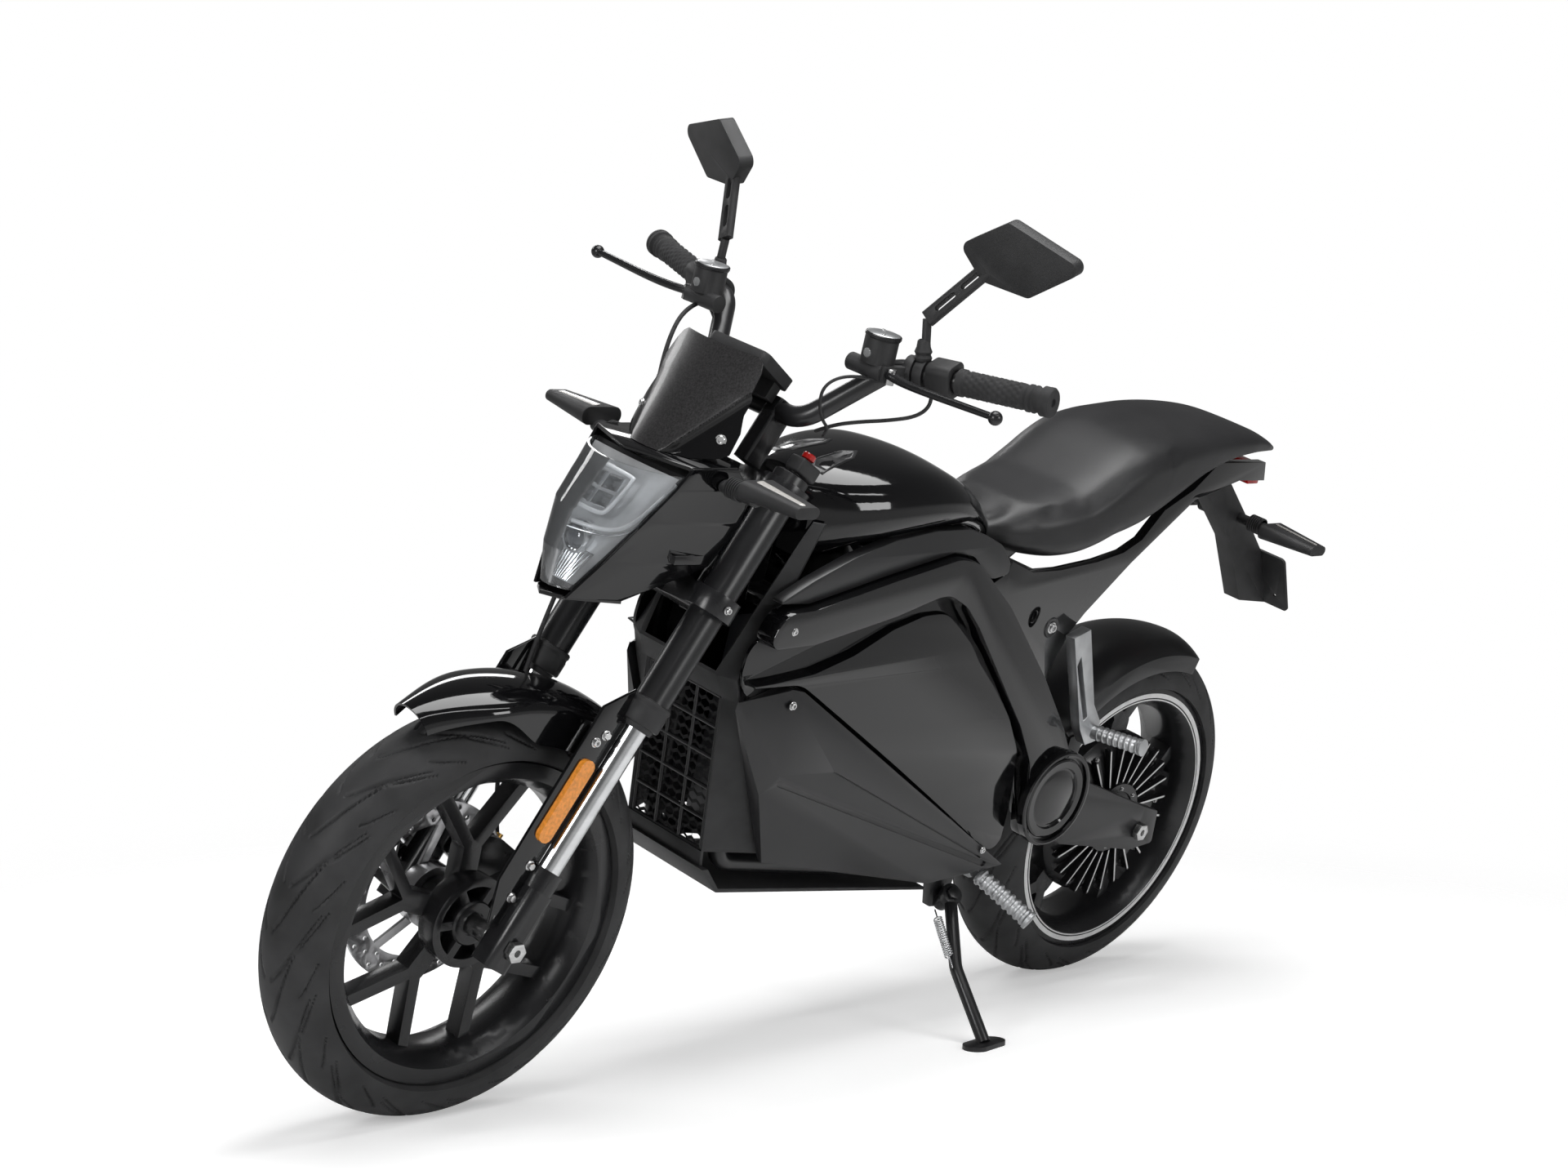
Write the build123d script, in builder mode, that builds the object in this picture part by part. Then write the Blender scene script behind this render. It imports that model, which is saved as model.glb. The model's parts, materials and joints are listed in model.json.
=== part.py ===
from build123d import *
from math import atan2, cos, degrees, radians, sin, sqrt, tan
import os

# Electric moped leaning on its side stand. Millimetres.
# Every piece is drawn on the upright machine: +X forward, +Y to its left, +Z up,
# with the rear axle above the origin. The last section steers the front, leans the
# whole machine onto its stand and writes one file for each piece.

# Chassis
wheelbase = 1385.0
rake = 28.0
fork_offset = 35.0
fork_half_spacing = 106.0
park_lean = 16.0
park_steer = -3.2

# Wheels and tyres
front_tyre_radius = 293.0
front_tyre_width = 114.0
rear_tyre_radius = 296.0
rear_tyre_width = 130.0
rim_flange_radius = 230.0
rim_bead_radius = 216.0
front_rim_width = 86.0
rear_rim_width = 106.0
front_tyre_crown = front_tyre_width / 2
rear_tyre_crown = rear_tyre_width / 2
tyre_wall = 9.0
rim_wall = 6.0
axle_radius = 9.0
axle_bore = 5.0
running_gap = 0.05
seat_gap = 0.3
front_hub_radius = 32.0
front_hub_half = 42.0
motor_radius = 140.0
motor_half = 56.0
front_disc_radius = 130.0
rear_disc_radius = 110.0
disc_thickness = 4.5
front_disc_y = -66.0
rear_disc_y = -74.0

# Fork and steering
fork_outer_radius = 25.0
fork_inner_radius = 17.5
lug_bottom = -34.0
lug_top = 112.0
outer_bottom = 335.0
outer_top = 722.0
lower_clamp_at = 522.0
upper_clamp_at = 694.0
clamp_thickness = 30.0
head_tube_radius = 30.0
stem_radius = 14.0
riser_half = 19.0
bar_radius = 14.3
grip_bore = 14.3
grip_radius = 17.5
grip_length = 122.0
bar_height = 789.0
bar_forward = 29.0

# Body
frame_half = 140.0
beam_thickness = 30.0
panel_half = 134.0
panel_wall = 5.0
swing_half = 108.0
arm_thickness = 24.0

# Places on the machine
shock_top = Vector(470, 0, 620)
shock_foot = Vector(290, 0, 455)
shock_pin = 11.0
front_axle = Vector(wheelbase, 0, front_tyre_radius)
rear_axle = Vector(0, 0, rear_tyre_radius)
steer_up = Vector(-sin(radians(rake)), 0, cos(radians(rake)))
steer_forward = Vector(cos(radians(rake)), 0, sin(radians(rake)))
steer_point = front_axle - steer_forward * fork_offset
swing_pivot = Vector(315, 0, 405)
stand_pivot = Vector(452, 104, 238)
stand_axis = Vector(0.19, 0.66, 0.72).normalized()


def on_fork(distance, y=0.0, forward=0.0):
    """Point a distance up the fork from the front axle, and forward of the fork line."""
    return front_axle + steer_up * distance + steer_forward * forward + Vector(0, y, 0)


def fork_plane(distance, y=0.0, forward=0.0):
    """Plane square to the fork, its local X forward and its local Y to the left."""
    return Plane(origin=on_fork(distance, y, forward), x_dir=steer_forward, z_dir=steer_up)


def across(y):
    """Upright plane along the machine, a distance to its left. Local X and Y are X and Z."""
    return Plane.XZ.offset(-y)


def section_at(x):
    """Upright plane across the machine. Local X is to the left, local Y is up."""
    return Plane(origin=(x, 0, 0), x_dir=(0, 1, 0), z_dir=(1, 0, 0))


def wheel_plane(axle):
    """Plane through an axle. Local X is outward and local Y is to the left."""
    return Plane(origin=axle, x_dir=(1, 0, 0), z_dir=(0, 0, 1))


def bar_along(points, radius, bend):
    """Round bar along straight runs joined by arcs, added to the open part."""
    with BuildLine() as route:
        if len(points) > 2:
            FilletPolyline(*points, radius=bend)
        else:
            Line(*points)
    with BuildSketch(Plane(route.line ^ 0)) as bar_end:
        Circle(radius)
    sweep(bar_end.sketch, path=route.line)


def link(start, end, width):
    """Round-ended strip between two points, added to the open sketch."""
    run = Vector(*end) - Vector(*start)
    middle = (Vector(*start) + Vector(*end)) * 0.5
    with Locations((middle.X, middle.Y)):
        SlotCenterToCenter(run.length, width, rotation=degrees(atan2(run.Y, run.X)))


def around(centre, radius, angle):
    """Point in a side view at an angle about a centre."""
    return (centre[0] + radius * cos(radians(angle)), centre[1] + radius * sin(radians(angle)))


def rounded(points, largest):
    """Closed outline with every corner rounded as far as its two runs allow."""
    radii = []
    for n, here in enumerate(points):
        back = Vector(*points[n - 1]) - Vector(*here)
        on = Vector(*points[(n + 1) % len(points)]) - Vector(*here)
        turn = radians(180 - back.get_angle(on))
        radii.append(min(largest, 0.42 * min(back.length, on.length) / max(tan(turn / 2), 0.01)))
    with BuildSketch() as outline:
        with BuildLine():
            FilletPolyline(*points, radius=radii, close=True)
        make_face()
    return outline.sketch


def three_point_plane(a, b, c):
    """Plane through three points, its normal to the left of the machine."""
    normal = (Vector(*b) - Vector(*a)).cross(Vector(*c) - Vector(*a))
    if normal.Y < 0:
        normal = normal * -1
    return Plane(origin=Vector(*a), z_dir=normal)


def tyre_profile(radius, width, flange):
    """Hollow tyre section from bead to bead with a round crown."""
    crown = width / 2
    shoulder = radius - crown
    inner = crown - tyre_wall
    with BuildSketch() as profile:
        with BuildLine():
            Line((rim_bead_radius, -flange), (rim_flange_radius, -flange))
            Line((rim_flange_radius, -flange), (shoulder, -crown))
            ThreePointArc((shoulder, -crown), (radius, 0), (shoulder, crown))
            Line((shoulder, crown), (rim_flange_radius, flange))
            Line((rim_flange_radius, flange), (rim_bead_radius, flange))
            Line((rim_bead_radius, flange), (rim_bead_radius, flange - tyre_wall))
            Line((rim_bead_radius, flange - tyre_wall), (rim_flange_radius, flange - tyre_wall))
            Line((rim_flange_radius, flange - tyre_wall), (shoulder, inner))
            ThreePointArc((shoulder, inner), (radius - tyre_wall, 0), (shoulder, -inner))
            Line((shoulder, -inner), (rim_flange_radius, -flange + tyre_wall))
            Line((rim_flange_radius, -flange + tyre_wall), (rim_bead_radius, -flange + tyre_wall))
            Line((rim_bead_radius, -flange + tyre_wall), (rim_bead_radius, -flange))
        make_face()
    return profile.sketch


def barrel_profile(half):
    """Rim barrel with a dropped centre and a flange on each edge."""
    seat = rim_bead_radius - seat_gap
    lip = half + rim_wall
    well = seat - 18
    with BuildSketch() as profile:
        with BuildLine():
            Polyline(
                (rim_flange_radius, lip), (seat - 8, lip), (well - rim_wall, half - 20),
                (well - rim_wall, -half + 20), (seat - 8, -lip), (rim_flange_radius, -lip),
                (rim_flange_radius, -half - seat_gap), (seat, -half - seat_gap),
                (seat, -half + 12), (well, -half + 24), (well, half - 24), (seat, half - 12),
                (seat, half + seat_gap), (rim_flange_radius, half + seat_gap), close=True,
            )
        make_face()
    return profile.sketch


def spokes(axle, hub_reach, knee_reach, tip_reach, spread, stem, fork):
    """Five spokes that each fork in two, drawn in a side view."""
    centre = (axle.X, axle.Z)
    for n in range(5):
        turn = 90 + n * 72
        knee = around(centre, knee_reach, turn)
        link(around(centre, hub_reach, turn), knee, stem)
        for lean in (-spread, spread):
            link(knee, around(centre, tip_reach, turn + lean), fork)


# Front tyre
front_spin = Axis(front_axle, (0, 1, 0))
with BuildPart() as front_tyre:
    with BuildSketch(wheel_plane(front_axle)):
        add(tyre_profile(front_tyre_radius, front_tyre_width, front_rim_width / 2))
    revolve(axis=front_spin)

# Rear tyre
rear_spin = Axis(rear_axle, (0, 1, 0))
with BuildPart() as rear_tyre:
    with BuildSketch(wheel_plane(rear_axle)):
        add(tyre_profile(rear_tyre_radius, rear_tyre_width, rear_rim_width / 2))
    revolve(axis=rear_spin)

# Front wheel casting
with BuildPart() as front_rim:
    with BuildSketch(wheel_plane(front_axle)):
        add(barrel_profile(front_rim_width / 2))
        with Locations((front_hub_radius / 2, 0)):
            Rectangle(front_hub_radius, 2 * front_hub_half)
    revolve(axis=front_spin)
    with BuildSketch(across(14)):
        spokes(front_axle, 24, 92, rim_bead_radius - 20, 21, 30, 17)
    extrude(amount=28)
    with BuildSketch(across(front_hub_half)):
        with Locations((front_axle.X, front_axle.Z)):
            Circle(64)
            Circle(52, mode=Mode.SUBTRACT)
        for n in range(6):
            link(around((front_axle.X, front_axle.Z), 26, 60 * n),
                 around((front_axle.X, front_axle.Z), 58, 60 * n), 12)
    extrude(amount=32)
    with BuildSketch(across(front_hub_half)):
        with Locations((front_axle.X, front_axle.Z)):
            Circle(axle_radius + running_gap)
    extrude(amount=2 * front_hub_half, mode=Mode.SUBTRACT)

# Rear wheel casting with the hub motor in its centre
with BuildPart() as rear_rim:
    with BuildSketch(wheel_plane(rear_axle)):
        add(barrel_profile(rear_rim_width / 2))
        with BuildLine():
            Polyline((0, motor_half), (46, motor_half), (58, motor_half - 8),
                     (motor_radius - 14, motor_half - 14), (motor_radius, motor_half - 28),
                     (motor_radius, -motor_half + 28), (motor_radius - 14, -motor_half + 14),
                     (58, -motor_half + 8), (46, -motor_half), (0, -motor_half), close=True)
        make_face()
    revolve(axis=rear_spin)
    for face, depth in ((motor_half, motor_half - 12), (-motor_half, 12 - motor_half)):
        with BuildSketch(across(face)):
            for n in range(24):
                link(around((rear_axle.X, rear_axle.Z), 62, 15 * n),
                     around((rear_axle.X, rear_axle.Z), motor_radius - 4, 15 * n + 5), 4)
        extrude(amount=face - depth)
    with BuildSketch(across(20)):
        spokes(rear_axle, motor_radius - 10, motor_radius + 12, rim_bead_radius - 20, 9, 44, 22)
    extrude(amount=40)
    with BuildSketch(across(motor_half)):
        with Locations((rear_axle.X, rear_axle.Z)):
            Circle(axle_radius + running_gap)
    extrude(amount=2 * motor_half, mode=Mode.SUBTRACT)


def brake_disc(axle, y, radius, seat_y):
    """Brake disc with five arms and a carrier that reaches the hub."""
    centre = (axle.X, axle.Z)
    with BuildSketch(across(y + disc_thickness / 2)) as rotor:
        with Locations(centre):
            Circle(radius)
            Circle(radius - 34, mode=Mode.SUBTRACT)
        for n in range(5):
            link(around(centre, 40, 72 * n), around(centre, radius - 28, 72 * n + 24), 13)
        with Locations(centre):
            Circle(44)
            Circle(28, mode=Mode.SUBTRACT)
    extrude(rotor.sketch, amount=disc_thickness)
    with BuildSketch(across(seat_y)) as carrier:
        with Locations(centre):
            Circle(44)
            Circle(28, mode=Mode.SUBTRACT)
    extrude(carrier.sketch, amount=seat_y - y)


with BuildPart() as front_brake_disc:
    brake_disc(front_axle, front_disc_y, front_disc_radius, -front_hub_half)

with BuildPart() as rear_brake_disc:
    brake_disc(rear_axle, rear_disc_y, rear_disc_radius, -motor_half)


def axle_shaft(axle, hub_half, spacer_radius, spacer_end, half_length):
    """Hollow axle with a spacer each side of the hub and a hexagon on each end."""
    centre = (axle.X, axle.Z)
    with BuildSketch(across(half_length)) as shaft:
        with Locations(centre):
            Circle(axle_radius)
    extrude(shaft.sketch, amount=2 * half_length)
    for start in (spacer_end, -hub_half - seat_gap):
        with BuildSketch(across(start)) as spacer:
            with Locations(centre):
                Circle(spacer_radius)
        extrude(spacer.sketch, amount=spacer_end - hub_half - seat_gap)
    for start in (half_length, -half_length + 11):
        with BuildSketch(across(start)) as nut:
            with Locations(centre):
                RegularPolygon(15, 6)
        extrude(nut.sketch, amount=11)
    with BuildSketch(across(half_length)) as hollow:
        with Locations(centre):
            Circle(axle_bore)
    extrude(hollow.sketch, amount=2 * half_length, mode=Mode.SUBTRACT)


lug_half = 22.0
with BuildPart() as front_axle_shaft:
    axle_shaft(front_axle, front_hub_half, 15, fork_half_spacing - lug_half,
               fork_half_spacing + lug_half + 12)

with BuildPart() as rear_axle_shaft:
    axle_shaft(rear_axle, motor_half, 18, swing_half - arm_thickness, swing_half + 12)

# Fork: outer tubes, polished inner tubes and the lugs that hold the axle
with BuildPart() as fork_outer_tubes:
    for y in (fork_half_spacing, -fork_half_spacing):
        with BuildSketch(fork_plane(outer_bottom, y)):
            Circle(fork_outer_radius)
        extrude(amount=outer_top - outer_bottom)
        with BuildSketch(fork_plane(outer_bottom, y)):
            Circle(fork_outer_radius + 3.5)
        extrude(amount=36)
        with BuildSketch(fork_plane(outer_bottom, y)):
            Circle(fork_inner_radius + 0.1)
        extrude(amount=lower_clamp_at - outer_bottom, mode=Mode.SUBTRACT)

with BuildPart() as fork_inner_tubes:
    for y in (fork_half_spacing, -fork_half_spacing):
        with BuildSketch(fork_plane(lug_top - 40, y)):
            Circle(fork_inner_radius)
        extrude(amount=lower_clamp_at - lug_top + 30)

with BuildPart() as axle_lugs:
    for y in (fork_half_spacing, -fork_half_spacing):
        with BuildSketch(fork_plane(lug_bottom, y)):
            RectangleRounded(2 * lug_half, 2 * lug_half, 14)
        extrude(amount=lug_top - lug_bottom - 30)
        with BuildSketch(fork_plane(lug_top - 30, y)):
            Circle(lug_half + 1)
        extrude(amount=30)
        with BuildSketch(fork_plane(lug_top - 40, y)):
            Circle(fork_inner_radius + 0.1)
        extrude(amount=40, mode=Mode.SUBTRACT)
        with BuildSketch(across(y + lug_half + 1)):
            with Locations((front_axle.X, front_axle.Z)):
                Circle(axle_radius + running_gap)
        extrude(amount=2 * lug_half + 2, mode=Mode.SUBTRACT)


def clamp_outline():
    """Clamp seen along the fork: an eye for each tube joined across the stem."""
    for y in (fork_half_spacing, -fork_half_spacing):
        link((0, y), (-fork_offset, 0), 52)
        with Locations((0, y)):
            Circle(fork_outer_radius + 9)
    with Locations((-fork_offset, 0)):
        Circle(head_tube_radius + 2)


with BuildPart() as fork_clamps:
    for place in (lower_clamp_at, upper_clamp_at):
        with BuildSketch(fork_plane(place - clamp_thickness / 2)):
            clamp_outline()
            with Locations((0, fork_half_spacing), (0, -fork_half_spacing)):
                Circle(fork_outer_radius + 0.1, mode=Mode.SUBTRACT)
        extrude(amount=clamp_thickness)
    with BuildSketch(fork_plane(lower_clamp_at, 0, -fork_offset)):
        Circle(stem_radius)
    extrude(amount=upper_clamp_at - lower_clamp_at)
    for y in (45, -45):
        with BuildSketch(fork_plane(upper_clamp_at + clamp_thickness / 2 - 1, y, bar_forward - 4)):
            RectangleRounded(2 * riser_half, 26, 6)
        extrude(amount=bar_height - upper_clamp_at - clamp_thickness / 2 + 16)
    with BuildSketch(Plane(origin=on_fork(bar_height, 70, bar_forward), x_dir=steer_forward,
                           z_dir=(0, -1, 0))):
        Circle(bar_radius + 0.1)
    extrude(amount=140, mode=Mode.SUBTRACT)

# Handlebar: a straight middle, a rise each side and swept-back ends
bar_middle = on_fork(bar_height, 0, bar_forward)
bar_half_width = 384.0
bar_points = [
    (908, bar_half_width, 1121), (966, 168, 1100), (bar_middle.X - 2, 92, bar_middle.Z),
    (bar_middle.X - 2, -92, bar_middle.Z), (966, -168, 1100), (908, -bar_half_width, 1121),
]
bar_points[2] = (bar_middle.X, 92, bar_middle.Z)
bar_points[3] = (bar_middle.X, -92, bar_middle.Z)
with BuildPart() as handlebar:
    bar_along(bar_points, bar_radius, 48)


def bar_station(y):
    """Point on the swept end of the handlebar at a distance to the left."""
    share = (abs(y) - 168) / (bar_half_width - 168)
    return Vector(966 + (908 - 966) * share, y, 1100 + (1121 - 1100) * share)


def bar_plane(y):
    """Plane square to the swept end of the handlebar, its normal outward."""
    side = 1 if y > 0 else -1
    outward = bar_station(side * 384) - bar_station(side * 200)
    return Plane(origin=bar_station(y), x_dir=(0.3, 0, 1), z_dir=outward)


with BuildPart() as grips:
    for side in (1, -1):
        with BuildSketch(bar_plane(side * (bar_half_width - grip_length))):
            Circle(grip_radius)
            Circle(grip_bore + 0.1, mode=Mode.SUBTRACT)
        extrude(amount=grip_length + 8)
        with BuildSketch(bar_plane(side * (bar_half_width + seat_gap))):
            Circle(grip_radius + 2.5)
        extrude(amount=7)

with BuildPart() as switch_housings:
    for side in (1, -1):
        with BuildSketch(bar_plane(side * 222)):
            RectangleRounded(46, 44, 12)
            Circle(bar_radius + 0.1, mode=Mode.SUBTRACT)
        extrude(amount=36)

cylinder_radius = 12.0
cylinder_length = 62.0
lever_clamp_y = 194.0
with BuildPart() as master_cylinders:
    for side in (1, -1):
        hold = bar_station(side * lever_clamp_y)
        with BuildSketch(bar_plane(side * (lever_clamp_y - 6))):
            Circle(22)
        extrude(amount=12.5)
        with BuildSketch(across(hold.Y + 5)):
            with Locations((hold.X + 30, hold.Z - 4)):
                Rectangle(60, 22)
        extrude(amount=10)
        with BuildSketch(Plane(origin=hold + Vector(54, 0, -4), z_dir=(0, side, 0))):
            Circle(cylinder_radius)
        extrude(amount=-cylinder_length)
        with BuildSketch(Plane(origin=hold + Vector(46, -side * 24, 4), z_dir=(0, 0, 1))):
            Circle(23)
        extrude(amount=34)
        with BuildSketch(bar_plane(side * (lever_clamp_y - 18))):
            Circle(bar_radius + 0.1)
        extrude(amount=40, mode=Mode.SUBTRACT)

lever_ball = Vector(1014, 396, 1102)
with BuildPart() as levers:
    for side in (1, -1):
        hold = bar_station(side * (lever_clamp_y + 5 + 2 * seat_gap))
        bar_along([hold + Vector(54, 0, -4), hold + Vector(60, side * 66, -4),
                   Vector(lever_ball.X, side * (lever_ball.Y - 8), lever_ball.Z)], 6.5, 90)
        with Locations((lever_ball.X, side * lever_ball.Y, lever_ball.Z)):
            Sphere(9.5)

# Mirrors: a flat stalk from the bar and a five-sided head
mirror_outline = [(929, 208, 1286), (923, 276, 1333), (885, 387, 1300), (883, 308, 1245),
                  (905, 241, 1248)]
with BuildPart() as mirrors:
    for side in (1, -1):
        hold = bar_station(side * 206)
        with BuildSketch(bar_plane(side * 202)):
            Circle(20)
            Circle(bar_radius + 0.1, mode=Mode.SUBTRACT)
        extrude(amount=14)
        foot = Vector(hold.X, side * 208, hold.Z + 16)
        knee = Vector(962, side * 200, 1176)
        bar_along([foot, knee], 6, 10)
        head = Vector(916, side * 262, 1280)
        run = head - knee
        with BuildSketch(Plane(origin=knee, x_dir=(0, side, -0.5), z_dir=run)):
            RectangleRounded(24, 11, 4)
        extrude(amount=run.length)
        for start, end in ((0.16, 0.36), (0.5, 0.7)):
            with BuildSketch(Plane(origin=knee, x_dir=run, z_dir=run.cross(Vector(0, side, -0.5)))):
                link((start * run.length, 0), (end * run.length, 0), 8)
            extrude(amount=12, both=True, mode=Mode.SUBTRACT)
        corners = [Vector(x, side * y, z) for x, y, z in mirror_outline]
        face = Plane(origin=corners[0], x_dir=corners[2] - corners[0],
                     z_dir=(corners[2] - corners[0]).cross(corners[1] - corners[0]))
        flat = [face.to_local_coords(c) for c in corners]
        depth = -22 if face.z_dir.X < 0 else 22
        with BuildSketch(face):
            Polygon(*[(p.X, p.Y) for p in flat], align=None)
            fillet(vertices(), 12)
        extrude(amount=depth)

# Display ahead of the handlebar, carried by the fronts of the risers
riser_front = bar_forward - 4 + riser_half
with BuildPart() as display:
    with BuildSketch(Plane(origin=on_fork(bar_height + 30, 0, bar_forward + 50),
                           x_dir=(0, 1, 0), z_dir=(-0.55, 0, 0.83))):
        RectangleRounded(130, 84, 12)
    extrude(amount=20)
    with BuildSketch(fork_plane(bar_height, 0, riser_front + seat_gap + 10)):
        Rectangle(20, 110)
    extrude(amount=32)

# Headlight: lens cut as thin slices of the nose, with the housing behind it
# Columns: height, half width, forward reach at the side, forward reach in the middle
lamp_sections = [
    (752, 30, 1324, 1342),
    (800, 54, 1300, 1342),
    (856, 78, 1268, 1328),
    (924, 92, 1224, 1286),
]
lens_wall = 4.0


def lamp_slice(height, half, at_side, at_middle, depth):
    """Closed slice of the lamp from its curved front back to a flat rear."""
    with BuildSketch(Plane.XY.offset(height)) as piece:
        with BuildLine():
            ThreePointArc((at_side, -half), (at_middle, 0), (at_side, half))
            Polyline((at_side, half), (at_side - depth, half), (at_side - depth, -half),
                     (at_side, -half))
        make_face()
    return piece.sketch


def lens_slice(height, half, at_side, at_middle):
    """Thin slice of the clear lens."""
    with BuildSketch(Plane.XY.offset(height)) as piece:
        with BuildLine():
            ThreePointArc((at_side, -half), (at_middle, 0), (at_side, half))
            Line((at_side, half), (at_side - lens_wall, half))
            ThreePointArc((at_side - lens_wall, half), (at_middle - lens_wall, 0),
                          (at_side - lens_wall, -half))
            Line((at_side - lens_wall, -half), (at_side, -half))
        make_face()
    return piece.sketch


with BuildPart() as headlight_lens:
    loft([lens_slice(*row) for row in lamp_sections], ruled=True)

with BuildPart() as headlight_housing:
    lamp_back = lens_wall + seat_gap
    loft([lamp_slice(height, half, at_side - lamp_back, at_side - lamp_back + 6, 60)
          for height, half, at_side, at_middle in lamp_sections], ruled=True)

# Nose fairing: a folded cheek each side of the headlight, a bridge above and a chin below
# Columns: height, rear edge and its half width, front edge and its half width
cheek_wall = 5.0
cheek_sections = [
    (742, 1252, 52, 1333, 34),
    (800, 1148, 90, 1302, 60),
    (862, 1117, 102, 1270, 85),
    (908, 1114, 102, 1238, 95.5),
    (938, 1142, 101, 1220, 99.5),
]
with BuildPart() as nose_fairing:
    for lower, higher in zip(cheek_sections[:-1], cheek_sections[1:]):
        for z, rear_x, rear_half, front_x, front_half in (lower, higher):
            with BuildSketch(Plane.XY.offset(z)):
                Polygon((rear_x, rear_half), (front_x, front_half),
                        (front_x, front_half - cheek_wall), (rear_x, rear_half - cheek_wall),
                        align=None)
        loft(ruled=True)
    mirror(about=Plane.XZ)
    with BuildSketch(Plane.XY.offset(934)):
        Polygon((1221, -97), (1256, 0), (1221, 97), (1142, 99), (1142, -99), align=None)
    extrude(amount=6)
    with BuildSketch(Plane.XY.offset(738)):
        Polygon((1333, -25), (1350, 0), (1333, 25), (1252, 52), (1252, -52), align=None)
    extrude(amount=6)
    with BuildSketch(section_at(1150)):
        with Locations((0, 810)):
            Rectangle(180, 12)
    extrude(amount=60)
    for y in (60, -60):
        with BuildSketch(fork_plane(lower_clamp_at + clamp_thickness / 2 + seat_gap, y, 24)):
            Rectangle(46, 20)
        extrude(amount=46)

# Small screen above the headlight
# Columns: height, half width, forward reach at the side, forward reach in the middle
screen_sections = [
    (941, 93, 1178, 1226),
    (975, 96, 1160, 1203),
    (1030, 93, 1138, 1165),
    (1082, 80, 1116, 1130),
]
with BuildPart() as flyscreen:
    loft([lens_slice(*row) for row in screen_sections], ruled=True)

with BuildPart() as front_signals:
    for side in (1, -1):
        with BuildSketch(Plane(origin=(1160, side * 101.5, 916), x_dir=(1, 0, 0), z_dir=(0, side, 0))):
            Ellipse(13, 9)
        extrude(amount=62)
        with BuildSketch(Plane(origin=(1160, side * 158, 930), x_dir=(1, 0, 0), z_dir=(0, side, 0))):
            SlotCenterToCenter(44, 26)
        with BuildSketch(Plane(origin=(1160, side * 256, 930), x_dir=(1, 0, 0), z_dir=(0, side, 0))):
            SlotCenterToCenter(26, 16)
        loft()

def guard_profile(crown, shoulder, skirt, half, wall):
    """Arched mudguard section: a round crown between two straight skirts."""
    with BuildSketch() as profile:
        with BuildLine():
            Line((skirt, -half), (shoulder, -half))
            ThreePointArc((shoulder, -half), (crown, 0), (shoulder, half))
            Line((shoulder, half), (skirt, half))
            Line((skirt, half), (skirt, half - wall))
            Line((skirt, half - wall), (shoulder, half - wall))
            ThreePointArc((shoulder, half - wall), (crown - wall, 0), (shoulder, wall - half))
            Line((shoulder, wall - half), (skirt, wall - half))
            Line((skirt, wall - half), (skirt, -half))
        make_face()
    return profile.sketch


def turned_plane(axle, angle):
    """Plane through an axle at an angle up from straight ahead, its local X outward."""
    turn = radians(angle)
    return Plane(origin=axle, x_dir=(cos(turn), 0, sin(turn)), z_dir=(-sin(turn), 0, cos(turn)))


# Front mudguard over the wheel, carried by a plate on each axle lug
guard_half = 68.0
guard_boss = on_fork(285, 0, 50)
with BuildPart() as front_fender:
    with BuildSketch(turned_plane(front_axle, 66)):
        add(guard_profile(334, 304, 262, guard_half, 3))
    revolve(axis=Axis(front_axle, (0, -1, 0)), revolution_arc=65)
    for side in (1, -1):
        with BuildSketch(across(side * (guard_half - 2))):
            with Locations((guard_boss.X, guard_boss.Z)):
                Circle(9)
        extrude(amount=-side * (fork_half_spacing - 6 - seat_gap - guard_half + 2))

# Flat plates that carry the mudguard from the axle lugs
# Outline columns: distance up the fork, distance forward of the fork line
bracket_wall = 5.0
bracket_outline = [(20, 22.3), (14, 40), (70, 66), (330, 70), (372, 34), (330, 29),
                   (330, 18.3), (113, 18.3), (113, 23.4), (80, 23.4), (80, 22.3)]


def fork_side(y):
    """Upright plane along the fork, its local X up the fork and its local Y forward."""
    return Plane(origin=on_fork(0, y), x_dir=steer_up, z_dir=(0, 1, 0))


with BuildPart() as fender_brackets:
    with BuildSketch(fork_side(fork_half_spacing - 6)):
        Polygon(*bracket_outline, align=None)
    extrude(amount=bracket_wall)
    mirror(about=Plane.XZ)

with BuildPart() as side_reflectors:
    with BuildSketch(fork_side(fork_half_spacing - 6 + bracket_wall)):
        link((150, 44), (250, 44), 24)
    extrude(amount=8)
    mirror(about=Plane.XZ)

# Front brake caliper behind the right axle lug
with BuildPart() as front_caliper:
    with BuildSketch(fork_side(front_disc_y + 20)):
        Polygon((60, 8), (100, 8), (112, -58), (104, -124), (50, -124), (46, -58), align=None)
        fillet(vertices(), 6)
    extrude(amount=-(front_disc_y + 20 + fork_half_spacing - lug_half - 1 - seat_gap))
    with BuildSketch(fork_side(front_disc_y + 4)):
        Circle(front_disc_radius + 6)
    extrude(amount=-8, mode=Mode.SUBTRACT)

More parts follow.
